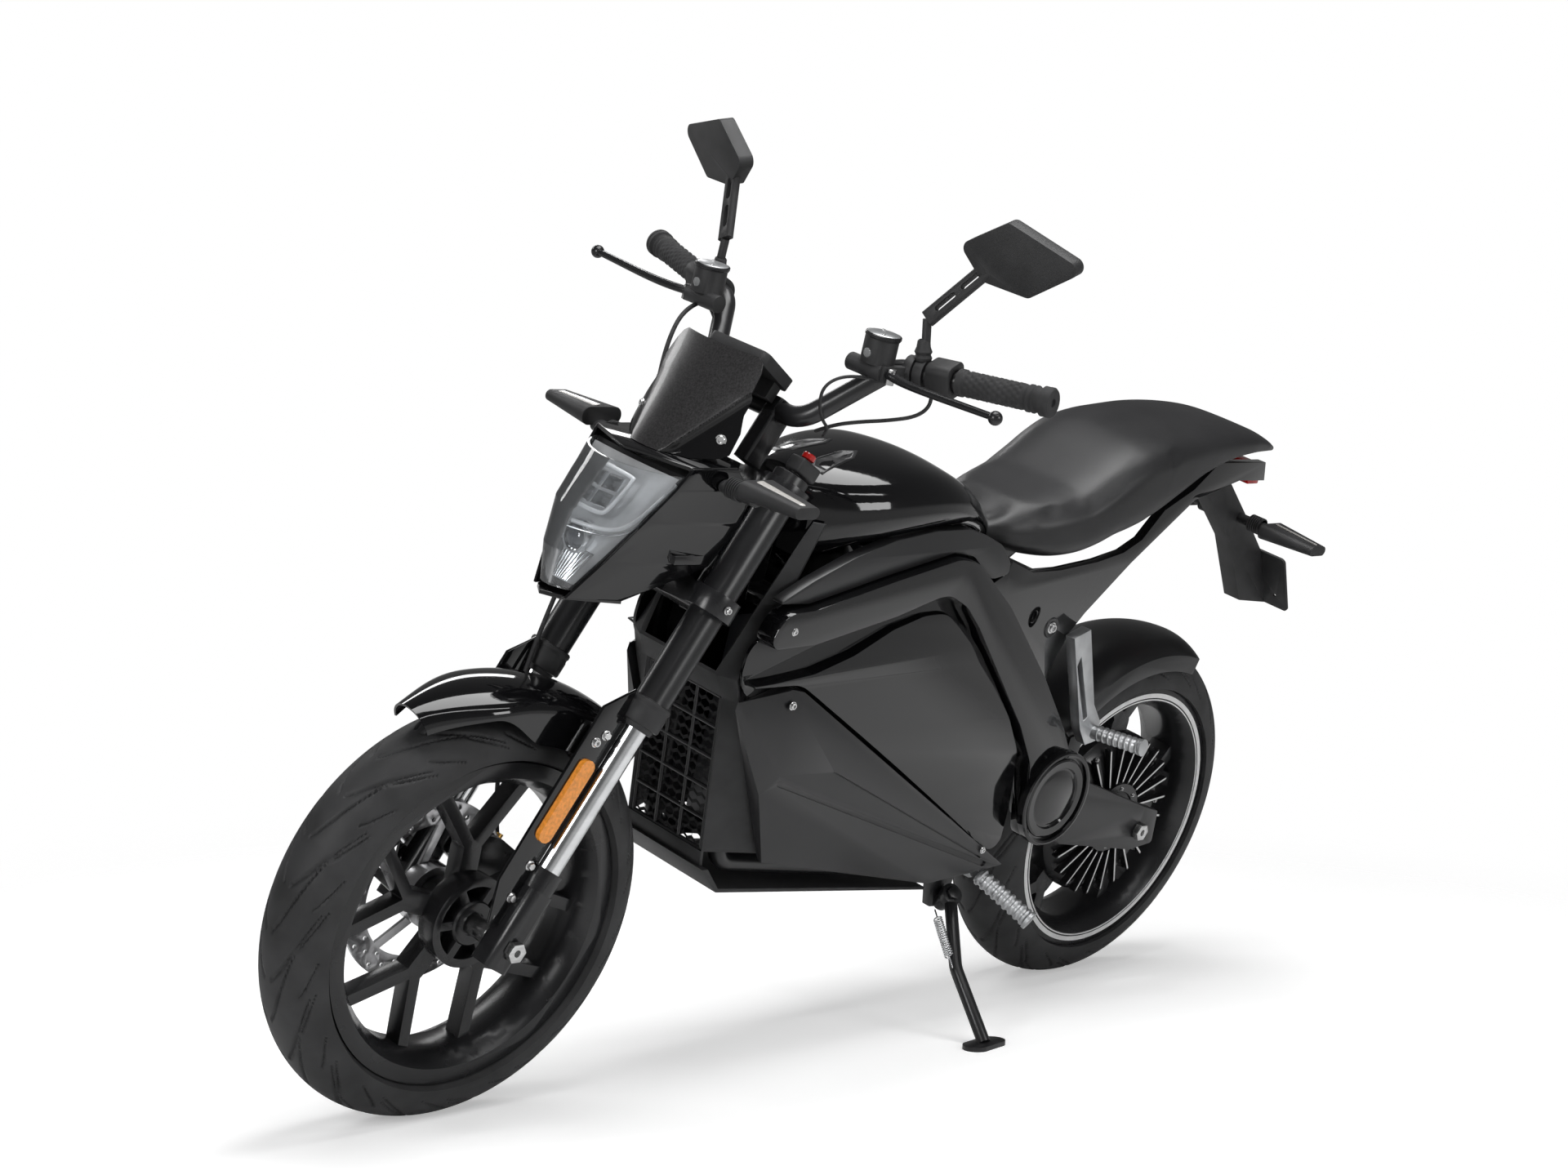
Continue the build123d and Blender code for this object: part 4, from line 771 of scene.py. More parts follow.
def lever(name, side):
    """Brake lever: a flat blade that narrows and curves out to its ball."""
    x, y, z = bar_at(side * 199.6)
    root = Vector((x + 50, y, z - 4))
    knee = Vector((x + 62, y + side * 58, z - 5))
    tip = Vector((1014, side * 388, 1102))
    rows = []
    for n in range(37):
        t = n / 36
        spot = root * (1 - t) ** 2 + knee * (2 * t * (1 - t)) + tip * t ** 2
        spot.x += 10 * math.sin(math.pi * t) * (1 - t)
        way = (knee - root) * (1 - t) + (tip - knee) * t
        way.normalize()
        flat = Vector((0, 0, 1)).cross(way).normalized()
        tall = way.cross(flat)
        wide, thick = 8.5 - 2.6 * ease(t, 0.1, 0.9), 5.6 - 1.2 * t
        row = []
        for k in range(16):
            turn = 2 * math.pi * k / 16
            spin = Vector((math.copysign(abs(math.cos(turn)) ** 0.7, math.cos(turn)),
                           math.copysign(abs(math.sin(turn)) ** 0.7, math.sin(turn))))
            row.append(front(*(spot + flat * (spin.x * wide) + tall * (spin.y * thick))))
        rows.append(row)
    made = skin(name, rows, CAST, "steering", loop=True, ends=True)
    ball = [(9.5 * math.sin(math.pi * k / 16), -9.5 * math.cos(math.pi * k / 16))
            for k in range(17)]
    turned(name + "_ball", ball, front(1014, side * 396, 1102), bar_way(side), CAST, "steering",
           count=32)
    turned(name + "_pivot", [(0, 9), (5, 9), (6, 8), (6, -12), (0, -12)],
           front(x + 52, y + side * 4, z - 4), up_axis, STEEL, "steering", count=24)
    return made


made = lever("lever_left", 1)
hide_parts("levers")
lever("lever_right", -1)


def button(name, y, dx, dz, radius, material):
    """Round button on a switch housing's rear face."""
    x, _, z = bar_at(y)
    turned(name, [(0, 3.2), (radius * 0.85, 3.2), (radius, 2.2), (radius, 0)],
           front(x + dx, y, z + dz), -(steer_turn @ ahead_axis), material, "steering", count=28)


for side, mark in SIDES:
    button(f"switch_upper_{mark}", side * 240, -21.5, 10, 5.5, RED if side < 0 else GRIP)
    button(f"switch_lower_{mark}", side * 240, -21.5, -9, 6.5, GRIP)
    button(f"switch_inner_{mark}", side * 228, -21.5, 1, 3.2, AMBER)

# Mirror glass on the rider's side of each head, and the boot on each stalk
MIRROR_CORNERS = [(929, 208, 1286), (923, 276, 1333), (885, 387, 1300), (883, 308, 1245),
                  (905, 241, 1248)]
for side, mark in SIDES:
    corners = [front(x, side * y, z) for x, y, z in MIRROR_CORNERS]
    normal = (corners[2] - corners[0]).cross(corners[1] - corners[0]).normalized()
    if normal.dot(ahead_axis) < 0:
        normal = -normal
    middle = sum(corners, Vector()) / 5
    rows = []
    for share, depth in ((0.80, 0.2), (0.80, -0.6), (0.77, -0.9), (0.0, -0.9)):
        ring = []
        for k in range(5):
            here = middle + (corners[k] - middle) * share
            ring.append(here + normal * (depth * MM))
        rows.append(ring)
    skin(f"mirror_glass_{mark}", rows, MIRROR, "steering", loop=True)
    x, y, z = bar_at(side * 206)
    turned(f"mirror_boot_{mark}", [(6.5, 18), (11, 18), (12, 22), (10, 26), (12, 30), (9.5, 36),
                                   (8.5, 44), (6.5, 46)], front(x, side * 208, z),
           front(962, side * 200, 1176) - front(x, side * 208, z + 16), RUBBER, "steering",
           count=32)

# Control cables and the front brake's hose
hose("brake_cable_left", [front(*p) for p in (
    (1000, 176, 1086), (1024, 172, 1088), (1060, 165, 1086), (1076, 154, 1070),
    (1068, 144, 1044), (1040, 130, 1016), (1012, 119, 1000), (1000, 100, 985))], 2.2, GRIP,
     "steering")
hose("switch_wire_left", [front(*p) for p in (
    (950, 226, 1082), (936, 219, 1066), (940, 203, 1044), (964, 176, 1030), (990, 150, 1020),
    (1008, 120, 1006), (1012, 96, 990))], 2.6, GRIP, "steering")
hose("switch_wire_right", [front(*p) for p in (
    (950, -226, 1082), (934, -219, 1064), (938, -203, 1040), (962, -176, 1022),
    (988, -150, 1010), (1006, -120, 996), (1012, -96, 984))], 2.6, GRIP, "steering")
hose("front_brake_hose", [front(*p) for p in (
    (1000, -176, 1092), (1040, -168, 1086), (1078, -150, 1040), (1090, -138, 960))]
     + [fork(s, -y, f) for s, y, f in ((560, 134, 40), (470, 118, 44), (330, 88, 40),
                                       (220, 78, 10), (150, 78, -40), (116, 84, -80))],
     3.2, GRIP, "steering")
turned("front_hose_fitting", [(0, -5), (7, -5), (7, 5), (0, 5)], fork(112, -84, -84),
       steer_axis, BRASS, "steering", count=24)

# Headlight: lens from the CAD, with its bezel, light bars, cells and projector behind it
# Columns: height, half width, forward reach at the side, forward reach in the middle
LAMP = [(752, 30, 1324, 1342), (800, 54, 1300, 1342), (856, 78, 1268, 1328),
        (924, 92, 1224, 1286)]


def between(table, height):
    """Row of a table of sections at a height between its rows."""
    for low, high in zip(table, table[1:]):
        if height <= high[0] or high is table[-1]:
            share = min(1.0, max(0.0, (height - low[0]) / (high[0] - low[0])))
            return [a + (b - a) * share for a, b in zip(low, high)]


def lens_x(y, z):
    """Forward reach of the lens at a place across and up."""
    _, half, at_side, at_middle = between(LAMP, z)
    return at_middle - (at_middle - at_side) * min(1.0, abs(y) / half) ** 2


def lamp_spot(y, z, behind):
    """Point behind the lens, in the row frame."""
    return front(lens_x(y, z) - behind, y, z)


soften("nose_fairing", 2.2)
rows = []
for n in range(13):
    z = 760 + 160 * n / 12
    _, half, at_side, at_middle = between(LAMP, z)
    rows.append([front(at_side + 3 + 4 * (1 - (k / 8) ** 2), half * 0.94 * k / 8, z)
                 for k in range(-8, 9)])
skin("lamp_bezel", rows, BEZEL, "steering")
upper = [(-40, 909), (40, 909), (44, 904), (36, 862), (28, 855), (-28, 855), (-36, 862),
         (-44, 904), (-40, 909), (0, 909)]
line("lamp_bar_upper", [lamp_spot(y, z, 30 - abs(y) * 0.35) for y, z in upper], 3.2, LIGHT_BAR,
     "steering")
for side, mark in SIDES:
    brow = [(4, 839), (34, 838), (56, 841), (68, 856), (76, 880), (84, 912)]
    line(f"lamp_brow_{mark}", [lamp_spot(side * y, z, 9) for y, z in brow], 3.0, LIGHT_BAR,
         "steering")
    trim = [(2, 831), (36, 830), (62, 836), (74, 856), (82, 884), (89, 918)]
    line(f"lamp_trim_{mark}", [lamp_spot(side * y, z, 7) for y, z in trim], 1.6, CHROME,
         "steering")
    for row, (low, high) in enumerate(((862, 880), (884, 902))):
        frame_rows = []
        for share, behind in ((1.0, 30), (1.0, 26), (0.82, 25), (0.62, 38), (0.0, 38)):
            ring = []
            for across, up in ((-1, -1), (1, -1), (1, 1), (-1, 1)):
                y = side * 15 + across * 12 * share
                z = (low + high) / 2 + up * (high - low) / 2 * share
                ring.append(lamp_spot(y, z, behind))
            frame_rows.append(ring)
        skin(f"lamp_cell_{mark}_{row}", frame_rows, CHROME, "steering", loop=True, sharp=20)
ahead_turned = steer_turn @ (ahead_axis + up_axis * 0.1)
turned("lamp_projector_bezel", [(0, -26), (24, -26), (24, -6), (22, -2), (19, -2), (17.5, -8)],
       front(1312, 0, 816), ahead_turned, CHROME, "steering", count=48)
turned("lamp_projector", [(17.5, -8)] + [(17.5 * math.cos(a), -8 + 11 * math.sin(a))
                                         for a in [math.pi / 2 * k / 10 for k in range(11)]],
       front(1312, 0, 816), ahead_turned, DARK_GLASS, "steering", count=48)
rows = []
for n in range(15):
    z = 762 + 42 * n / 14
    half = 22 + 18 * n / 14
    rows.append([front(between(LAMP, z)[2] + 7 + 1.8 * abs(math.sin(k * 0.8)), half * k / 24, z)
                 for k in range(-24, 25)])
skin("lamp_bowl", rows, CHROME, "steering", sharp=60)

# Small screen: a raised centre panel between two folded wings
SCREEN = [(941, 93, 1178, 1226), (975, 96, 1160, 1203), (1030, 93, 1138, 1165),
          (1082, 80, 1116, 1130)]
SCREEN_EDGE = [(941, 60), (948, 88), (956, 96), (985, 95), (1008, 88), (1034, 88), (1064, 84),
               (1076, 79), (1082, 70)]
CREASE = [(941, 30), (1045, 90), (1082, 110)]


def screen_x(y, z):
    """Forward reach of the screen at a place across and up, with its step at the crease."""
    _, full, at_side, at_middle = between(SCREEN, z)
    fold = between(CREASE, z)[1]
    bow = (at_middle - at_side) * (abs(y) / full) ** 2
    return at_middle - bow - 9 * ease(abs(y), fold, fold + 9)


def screen_point(across, z):
    """Point on the screen's outer face. across runs from -1 to 1 between its edges."""
    y = across * between(SCREEN_EDGE, z)[1]
    return front(screen_x(y, z), y, z)


rows = []
for n in range(49):
    z = 941 + 141 * n / 48
    rows.append([screen_point(k / 40, z) for k in range(-40, 41)])
screen = skin("screen_shell", rows, GLOSS, "steering", wall=3.2, sharp=50)
screen.data.materials.append(SCREEN_PANEL)
for face in screen.data.polygons:
    where = steer_turn.inverted() @ (face.center - steer_centre)
    y = abs(where.dot(across_axis)) / MM
    z = REAR_RADIUS + (steer_centre + where - rear_centre).dot(up_axis) / MM
    if y < between(CREASE, z)[1] + 1:
        face.material_index = 1
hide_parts("flyscreen")
rows = [((screen_x(80, 972) - 1, side * 80, 972),
         steer_turn @ (ahead_axis + across_axis * side * 0.6), 6, 4, 24) for side in (1, -1)]
bolts("screen_bolts", rows, "steering", STEEL, front)


# Turn signals: a ribbed boot, the body from the CAD and a clear lens over its lamp side
def signal(name, root, tip, facing, body, place):
    """Lens and inner lamp of a turn signal. root and tip are the ends of its lamp; facing is 1 for
    a lens ahead and -1 for a lens behind."""
    rows = []
    for n in range(17):
        t = n / 16
        spot = root * (1 - t) + tip * t
        long, tall = 36 - 16 * t, 14.4 - 5 * t
        if n == 16:
            long, tall = long * 0.8, tall * 0.7
        row = []
        for k in range(17):
            turn = math.pi * (k / 16 - 0.5)
            row.append(place(spot.x + facing * math.cos(turn) * long * 0.68, spot.y,
                             spot.z + math.sin(turn) * tall))
        rows.append(row)
    skin(f"{name}_lens", rows, SIGNAL_LENS, body, wall=1.2)
    inner = [place(spot.x + facing * 12, spot.y, spot.z)
             for spot in (root * 0.85 + tip * 0.15, (root + tip) * 0.5, root * 0.2 + tip * 0.8)]
    line(f"{name}_lamp", inner, 4, AMBER, body)


for side, mark in SIDES:
    signal(f"front_signal_{mark}", Vector((1160, side * 166, 930)),
           Vector((1160, side * 252, 930)), 1, "steering", front)
    signal(f"rear_signal_{mark}", Vector((-180, side * 86, 800)),
           Vector((-180, side * 172, 800)), -1, "chassis", at)
    rib = []
    for k in range(6):
        rib += [(14.5, 4 * k), (14.5, 4 * k + 2), (12.5, 4 * k + 2.5), (12.5, 4 * k + 3.5)]
    turned(f"front_signal_boot_{mark}", rib, front(1160, side * 112, 918),
           steer_turn @ (across_axis * side), RUBBER, "steering", count=32, sharp=60)
    turned(f"rear_signal_boot_{mark}", rib, at(-180, side * 40, 800), across_axis * side, RUBBER,
           "chassis", count=32, sharp=60)

# Seat: skinned over the CAD seat's sections, then filled by a cloth simulation
# Columns: place, half width, underside, edge height, crown
SEAT_FORM = [
    (538, 50, 800, 812, 828), (505, 78, 790, 816, 846), (470, 96, 782, 822, 860),
    (420, 114, 778, 832, 872), (370, 123, 782, 846, 886), (330, 127, 792, 866, 908),
    (290, 127, 804, 890, 934), (250, 126, 812, 912, 953), (210, 124, 826, 926, 963),
    (150, 120, 860, 936, 972), (90, 115, 900, 942, 979), (20, 107, 925, 948, 980),
    (-50, 97, 934, 950, 975), (-110, 82, 934, 944, 962), (-150, 64, 930, 936, 948),
    (-162, 48, 929, 932, 939)]
SEAT_SHRINK = 3.0


def seat_form():
    """Closed seat shape, a little small, ready to be filled."""
    stations = sorted(SEAT_FORM)
    rows = []
    count = 88
    for n in range(count + 1):
        x = -162 + 700 * n / count
        low = max(k for k in range(len(stations) - 1) if stations[k][0] <= x + 1e-6)
        before, after = stations[max(0, low - 1)], stations[min(len(stations) - 1, low + 2)]
        here, there = stations[low], stations[low + 1]
        t = (x - here[0]) / (there[0] - here[0])
        half, under, edge, crown = (
            0.5 * (2 * b + (c - a) * t + (2 * a - 5 * b + 4 * c - d) * t * t
                   + (3 * b - a - 3 * c + d) * t ** 3)
            for a, b, c, d in zip(before[1:], here[1:], there[1:], after[1:]))
        row = []
        for k in range(56):
            turn = 2 * math.pi * k / 56
            c, s = math.cos(turn), math.sin(turn)
            y = math.copysign(abs(c) ** 0.55, c) * (half - SEAT_SHRINK)
            if s >= 0:
                z = edge + (crown - SEAT_SHRINK - edge) * s ** 0.85
            else:
                y *= 1 - 0.07 * abs(s) ** 0.5
                z = edge - (edge - under) * abs(s) ** 0.42
            row.append(at(x, y, z))
        rows.append(row)
    return skin("seat_cushion", rows, SEAT, "chassis", loop=True, ends=True, sharp=180)


def fill_seat(cushion, most):
    """Fill the seat with pressure; its underside stays put and no point moves over most mm."""
    mesh = cushion.data
    still = cushion.vertex_groups.new(name="still")
    start = [v.co.copy() for v in mesh.vertices]
    low = [v.index for v in mesh.vertices if v.normal.dot(up_axis) < -0.35]
    still.add(low, 1.0, "REPLACE")
    cloth = cushion.modifiers.new("fill", "CLOTH")
    cloth.settings.use_pressure = True
    cloth.settings.uniform_pressure_force = 4
    cloth.settings.vertex_group_mass = "still"
    cloth.settings.effector_weights.gravity = 0
    cloth.settings.tension_stiffness = 30
    cloth.settings.bending_stiffness = 4
    cloth.point_cache.frame_end = 20
    for number in range(1, 21):
        bpy.context.scene.frame_set(number)
    graph = bpy.context.evaluated_depsgraph_get()
    filled = bpy.data.meshes.new_from_object(cushion.evaluated_get(graph))
    moved = [v.co.copy() for v in filled.vertices]
    cushion.modifiers.clear()
    bpy.context.scene.frame_set(1)
    for vertex, a, b in zip(mesh.vertices, start, moved):
        step = b - a
        if step.length > most * MM:
            step *= most * MM / step.length
        vertex.co = a + step
    bpy.data.meshes.remove(filled)


cushion = seat_form()
fill_seat(cushion, 5)
smooth = cushion.modifiers.new("smooth", "SUBSURF")
smooth.levels = 1
settle(cushion)
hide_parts("seat")

# Body: rounded edges on the CAD panels, bolts, pivot covers and grille
for node, width in (("main_frame", 3.0), ("tank_trim", 2.0), ("upper_side_panels", 2.0),
                    ("lower_side_panels", 1.0), ("front_shroud", 1.0), ("belly_pan", 1.0),
                    ("tail_cover", 2.5), ("swingarm", 2.5), ("peg_brackets", 2.0),
                    ("plate_holder", 1.2), ("tail_lamp", 2.0), ("side_stand", 1.0),
                    ("lower_cradle", 0.8), ("battery_pack", 2.0)):
    soften(node, width)
COVER = [(0, 9), (40, 9), (44, 7), (46, 6.4), (49, 6.4), (51, 9.5), (62, 10.5), (65, 9), (66, 6.5),
         (69, 6.5), (70, 12), (73, 13.7), (76, 13.2), (78, 11), (78, 0)]
for side, mark in SIDES:
    made = turned(f"pivot_cover_{mark}", COVER, at(315, side * 140.3, 405), across_axis * side,
                  GLOSS, "chassis", count=96, sharp=30)
    if side > 0:
        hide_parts("pivot_covers")
rows = []
for side in (1, -1):
    rows += [((973, side * 137.2, 610), across_axis * side, 5, 4, 24),
             ((410, side * 123.5, 684), across_axis * side, 7, 5, 24),
             ((452, side * 139.4, 330), across_axis * side, 4.5, 3, 24),
             ((1010, side * 139.4, 722), across_axis * side, 4.5, 3, 24)]
bolts("body_bolts", rows, "chassis", STEEL, at)
for side, mark in SIDES:
    turned(f"tail_bolt_cup_{mark}", [(10, 0.5), (13, 2.2), (15, 2.2), (16.5, 0)],
           at(410, side * 122.2, 684), across_axis * side, SATIN, "chassis", count=40)

GRILLE_LOW, GRILLE_HIGH, GRILLE_HALF = (1009, 369), (1044, 602), 70
CELL, WIRE, GRILLE_DEPTH = 9.5, 1.8, 5


def grille_point(y, up):
    """Point on the grille's face. up runs in mm from its lower edge."""
    rise = Vector((GRILLE_HIGH[0] - GRILLE_LOW[0], GRILLE_HIGH[1] - GRILLE_LOW[1]))
    way = rise.normalized() * up
    return at(GRILLE_LOW[0] + way.x, y, GRILLE_LOW[1] + way.y)


def honeycomb():
    """Honeycomb mesh over the whole grille."""
    shape = bmesh.new()
    corners = {}
    height = math.dist(GRILLE_LOW, GRILLE_HIGH)

    def corner(y, up):
        key = (round(y, 1), round(up, 1))
        if key not in corners:
            corners[key] = shape.verts.new(grille_point(
                max(-GRILLE_HALF, min(GRILLE_HALF, y)), max(0.0, min(height, up))))
        return corners[key]

    step = CELL * math.sqrt(3)
    for line_number in range(int(height / (1.5 * CELL)) + 2):
        up = line_number * 1.5 * CELL
        for n in range(-6, 7):
            y = n * step + (step / 2 if line_number % 2 else 0)
            spots = [corner(y + CELL * math.sin(math.pi / 3 * k),
                            up + CELL * math.cos(math.pi / 3 * k)) for k in range(6)]
            spots = [v for k, v in enumerate(spots) if v not in spots[:k]]
            if len(spots) > 3:
                try:
                    shape.faces.new(spots)
                except ValueError:
                    pass
    bmesh.ops.inset_individual(shape, faces=shape.faces[:], thickness=WIRE / 2 * MM)
    shape.faces.ensure_lookup_table()
    inner = [f for f in shape.faces if len(f.verts) != 4 and f.calc_area() > 1e-6]
    bmesh.ops.delete(shape, geom=inner, context="FACES")
    mesh = bpy.data.meshes.new("grille_mesh")
    shape.to_mesh(mesh)
    shape.free()
    made = show("grille_mesh", mesh, MATT)
    thick = made.modifiers.new("wall", "SOLIDIFY")
    thick.thickness = GRILLE_DEPTH * MM
    thick.offset = 0
    settle(made)
    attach(made, "chassis")
    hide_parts("grille")
    return made


honeycomb()
for n, up in enumerate((0, 47, 94, 141, 188, 235)):
    line(f"grille_bar_{n}", [grille_point(-GRILLE_HALF, up), grille_point(0, up),
                             grille_point(GRILLE_HALF, up)], 3.0, SATIN, "chassis")
for n, y in enumerate((-GRILLE_HALF, -24, 24, GRILLE_HALF)):
    line(f"grille_post_{n}", [grille_point(y, 0), grille_point(y, 118), grille_point(y, 235)],
         3.0, SATIN, "chassis")

# Tank: a scoop with a raised rim each side of the ridge, and the red reset switch
SCOOP = [(931, 34), (925, 50), (862, 40), (842, 26), (862, 18), (915, 22)]
ABOVE_TANK = 1100
tank_mesh = frame["nodes"]["tank_cover"].data
tank_tree = BVHTree.FromPolygons([v.co for v in tank_mesh.vertices],
                                 [tuple(f.vertices) for f in tank_mesh.polygons])


def on_tank(x, y, lift):
    """Point on the tank's skin under a place in plan, raised by lift in mm."""
    spot = tank_tree.ray_cast(at(x, y, ABOVE_TANK), -up_axis)[0]
    return spot + up_axis * (lift * MM)


for side, mark in SIDES:
    middle = (sum(x for x, _ in SCOOP) / 6, sum(y for _, y in SCOOP) / 6)
    rows = []
    for share, lift in ((1.16, -0.6), (1.12, 1.4), (1.0, 2.0), (0.92, 1.2), (0.86, 0.2),
                        (0.0, 0.3)):
        ring = []
        for n in range(6):
            for part in range(4):
                a, b = SCOOP[n], SCOOP[(n + 1) % 6]
                x = a[0] + (b[0] - a[0]) * part / 4
                y = a[1] + (b[1] - a[1]) * part / 4
                x, y = middle[0] + (x - middle[0]) * share, middle[1] + (y - middle[1]) * share
                ring.append(on_tank(x, side * y, lift))
        rows.append(ring)
    skin(f"tank_scoop_{mark}", rows, SATIN, "chassis", loop=True, sharp=50)
turned("reset_switch", [(0, 8), (8, 8), (9.5, 6.5), (9.5, 0)], fork(752, 108, -6), steer_axis,
       RED, "steering", count=32)


def block(name, centre, sizes, ways, material, body, round_by=3.0):
    """Block with rounded edges. ways are its three directions and sizes its lengths in mm."""
    points = []
    for a in (-1, 1):
        for b in (-1, 1):
            for c in (-1, 1):
                points.append(centre + ways[0] * (a * sizes[0] / 2 * MM)
                              + ways[1] * (b * sizes[1] / 2 * MM)
                              + ways[2] * (c * sizes[2] / 2 * MM))
    faces = [(0, 1, 3, 2), (4, 6, 7, 5), (0, 4, 5, 1), (2, 3, 7, 6), (0, 2, 6, 4), (1, 5, 7, 3)]
    made = piece(name, points, faces, material, body)
    edges = made.modifiers.new("edges", "BEVEL")
    edges.width = round_by * MM
    edges.segments = 3
    return settle(made)


steered_ways = (fork_ahead, front_axis, steer_axis)
block("switch_pod", fork(738, 108, -8), (44, 28, 22), steered_ways, MATT, "steering", 4)


# Pegs, stand spring and rear shock
def serrated(name, start, end, radius, teeth, material, body):
    """Foot peg turned with a row of teeth along it."""
    run = end - start
    length = run.length / MM
    profile = [(0, 0), (radius * 0.8, 0)]
    pitch = length / teeth
    for n in range(teeth):
        profile += [(radius * 0.82, pitch * n + 0.15 * pitch), (radius, pitch * n + 0.35 * pitch),
                    (radius, pitch * n + 0.65 * pitch), (radius * 0.82, pitch * n + 0.9 * pitch)]
    profile += [(radius * 1.08, length - 1), (radius * 1.08, length + 4), (0, length + 5)]
    return turned(name, profile, start, run, material, body, count=40, sharp=25)


for side, mark in SIDES:
    made = serrated(f"rider_peg_{mark}", at(414, side * 118, 274), at(386, side * 209, 237),
                    14.5, 9, SILVER, "chassis")
    turned(f"rider_peg_hinge_{mark}", [(0, 0), (15, 0), (16, 1), (16, 15), (12, 20), (0, 20)],
           at(418, side * 92.3, 281), across_axis * side, SILVER, "chassis", count=40)
    if side > 0:
        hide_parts("rider_pegs")
    serrated(f"passenger_peg_{mark}", at(204, side * 116, 491), at(196, side * 197, 500), 12.6, 8,
             SILVER, "chassis")
STAND = Vector((452, 104, 238))
KNEE = Vector((495, 180, 158))
top, foot = STAND + Vector((34, 4, -18)), KNEE + Vector((16.8, 7.1, 5.3))
spring = coil("stand_coil", at(*(top * 0.86 + foot * 0.14)), at(*(top * 0.2 + foot * 0.8)), 6.2,
              1.2, 16, CHROME, "side_stand")
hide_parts("stand_spring")
line("stand_coil_hook_upper", [at(*top), at(*(top * 0.93 + foot * 0.07)),
                               at(*(top * 0.86 + foot * 0.14))], 1.2, CHROME, "side_stand")
line("stand_coil_hook_lower", [at(*foot), at(*(top * 0.1 + foot * 0.9)),
                               at(*(top * 0.2 + foot * 0.8))], 1.2, CHROME, "side_stand")
SHOCK_TOP, SHOCK_FOOT = Vector((470, 0, 620)), Vector((290, 0, 455))


def shock_point(share):
    """Point along the rear shock, from 0 at its top eye to 1 at its foot."""
    return at(*(SHOCK_TOP * (1 - share) + SHOCK_FOOT * share))


length = (SHOCK_TOP - SHOCK_FOOT).length
SHOCK_FORM = [(0, 0.06), (11, 0.06), (12, 0.08), (12, 0.14), (27, 0.15), (28, 0.18),
              (28, 0.2), (15, 0.21), (15, 0.62), (8, 0.64), (8, 0.76), (28, 0.77), (28, 0.8),
              (12, 0.82), (11, 0.94), (0, 0.94)]
made = turned("shock_body", [(r, share * length) for r, share in SHOCK_FORM], shock_point(0),
              shock_point(1) - shock_point(0), CAST, "chassis", count=48)
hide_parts("rear_shock")
coil("shock_coil", shock_point(0.2), shock_point(0.77), 22.5, 4.2, 8, CHROME, "chassis")
for share, mark in ((0.0, "upper"), (1.0, "lower")):
    turned(f"shock_eye_{mark}", [(11.1, -15), (16, -15), (16, 15), (11.1, 15), (11.1, -15)],
           shock_point(share), across_axis, CAST, "chassis", count=40)

# Stage: a white floor that keeps the machine's shadow and fades into the white world
FLOOR_LIFT, FADE_START, FADE_END = 0.36, 1.15, 2.3
floor_mesh = bpy.data.meshes.new("floor")
floor_mesh.from_pydata([(-6, -6, 0), (6, -6, 0), (6, 6, 0), (-6, 6, 0)], [], [(0, 1, 2, 3)])
floor = show("floor", floor_mesh)
paper = finish("floor_paper", (0.93, 0.93, 0.93), 0.9, specular=0.1, spots=(2, 0.01))
tree = paper.node_tree
seen = new_node(tree, "LightPath")
glow = new_node(tree, "Emission")
lift = new_node(tree, "Math")
lift.operation = "MULTIPLY"
lift.inputs[1].default_value = FLOOR_LIFT
total = new_node(tree, "AddShader")
reach = new_node(tree, "VectorMath")
reach.operation = "LENGTH"
fade = new_node(tree, "MapRange", {"From Min": FADE_START, "From Max": FADE_END})
fade.interpolation_type = "SMOOTHSTEP"
gone = new_node(tree, "BsdfTransparent")
blend = new_node(tree, "MixShader")
join(tree, (seen, "Is Camera Ray", lift, 0), (lift, "Value", glow, "Strength"),
     (tree.nodes["Principled BSDF"], "BSDF", total, 0), (glow, "Emission", total, 1),
     (tree.nodes["Texture Coordinate"], "Object", reach, 0), (reach, "Value", fade, "Value"),
     (fade, "Result", blend, "Fac"), (total, "Shader", blend, 1), (gone, "BSDF", blend, 2),
     (blend, "Shader", tree.nodes["Material Output"], "Surface"))
floor.data.materials.append(paper)

# World: white to the camera; for light and reflections a pale band at the horizon under a dim
# ceiling, as in a studio
world = bpy.data.worlds.new("studio")
bpy.context.scene.world = world
world.use_nodes = True
tree = world.node_tree
around = tree.nodes["Background"]
around.inputs["Strength"].default_value = 1.0
way = new_node(tree, "TexCoord")
parts = new_node(tree, "SeparateXYZ")
level = new_node(tree, "MapRange", {"From Min": -1, "From Max": 1})
ramp = new_node(tree, "ValToRGB")
for place, tone in ((0.0, 0.34), (0.44, 0.46), (0.50, 0.42), (0.57, 0.13), (1.0, 0.06)):
    stop = ramp.color_ramp.elements.new(place) if 0 < place < 1 else \
        ramp.color_ramp.elements[0 if place == 0 else -1]
    stop.position = place
    stop.color = (tone, tone, tone, 1)
seen = new_node(tree, "LightPath")
either = new_node(tree, "Math")
either.operation = "MAXIMUM"
plain = new_node(tree, "Background", {"Color": (1, 1, 1, 1), "Strength": 1.0})
pick = new_node(tree, "MixShader")
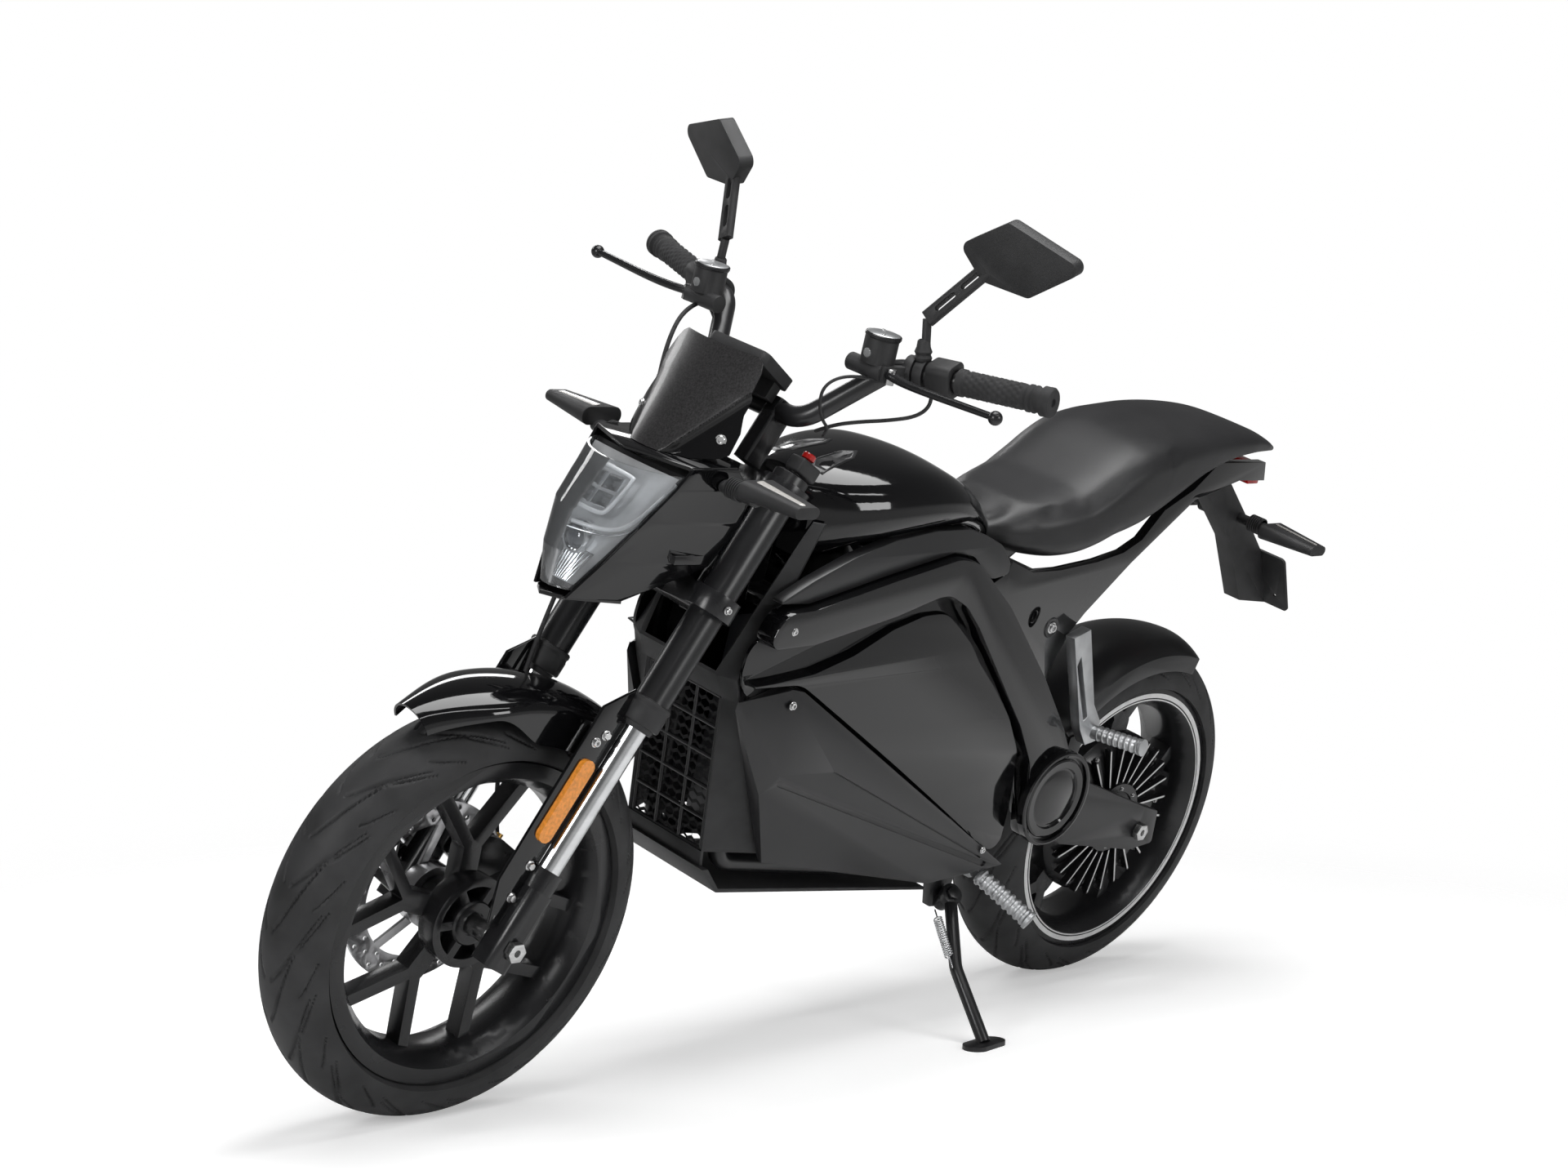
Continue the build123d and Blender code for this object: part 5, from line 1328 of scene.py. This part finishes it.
join(tree, (way, "Generated", parts, "Vector"), (parts, "Z", level, "Value"),
     (level, "Result", ramp, "Fac"), (ramp, "Color", around, "Color"),
     (seen, "Is Camera Ray", either, 0), (seen, "Is Transmission Ray", either, 1),
     (either, "Value", pick, "Fac"), (around, "Background", pick, 1),
     (plain, "Background", pick, 2), (pick, "Shader", tree.nodes["World Output"], "Surface"))


def softbox(name, place, aim, size, watts):
    """Rectangular studio light that faces a point."""
    lamp = bpy.data.lights.new(name, "AREA")
    lamp.shape = "RECTANGLE"
    lamp.size, lamp.size_y = size
    lamp.energy = watts
    made = show(name, lamp)
    made.location = place
    made.rotation_euler = (Vector(aim) - Vector(place)).to_track_quat("-Z", "Y").to_euler()


softbox("top_light", (0.0, 0.3, 3.2), (0, 0, 0.6), (2.4, 1.6), 72)
softbox("left_light", (-0.4, 3.8, 1.7), (0, 0, 0.6), (1.5, 1.1), 34)
softbox("left_strip", (0.5, 1.9, 2.6), (0.1, 0, 0.7), (2.6, 0.16), 9)
softbox("right_strip", (-0.3, -2.2, 2.2), (0.1, 0, 0.7), (2.8, 0.30), 18)
softbox("front_light", (3.5, 0.5, 1.7), (0.5, -0.1, 0.8), (0.9, 1.3), 36)

# Camera, solved from the photograph in the upright machine's frame
CAMERA_AT = (4054.717, 2668.195, 1921.588)
CAMERA_RIGHT = (-0.67669087, 0.69820373, 0.23366861)
CAMERA_DOWN = (0.04899645, 0.35936953, -0.9319082)
CAMERA_AHEAD = (-0.73463516, -0.61916483, -0.27739159)
SENSOR, FOCAL_PX, PHOTO_WIDE = 36, 3760.955, 1920


def turned_to_row(v):
    """Direction of the upright machine, in the row frame."""
    return (ahead_axis * v[0] + across_axis * v[1] + up_axis * v[2]).normalized()


view = bpy.data.cameras.new("photo_camera")
view.sensor_width = SENSOR
view.lens = SENSOR * FOCAL_PX / PHOTO_WIDE
view.clip_end = 200
camera = show("photo_camera", view)
right, down, ahead = (turned_to_row(v) for v in (CAMERA_RIGHT, CAMERA_DOWN, CAMERA_AHEAD))
turn = Matrix((right, -down, -ahead)).transposed().to_4x4()
camera.matrix_world = Matrix.Translation(at(*CAMERA_AT)) @ turn
bpy.context.scene.camera = camera
bpy.context.scene.view_settings.view_transform = "Standard"
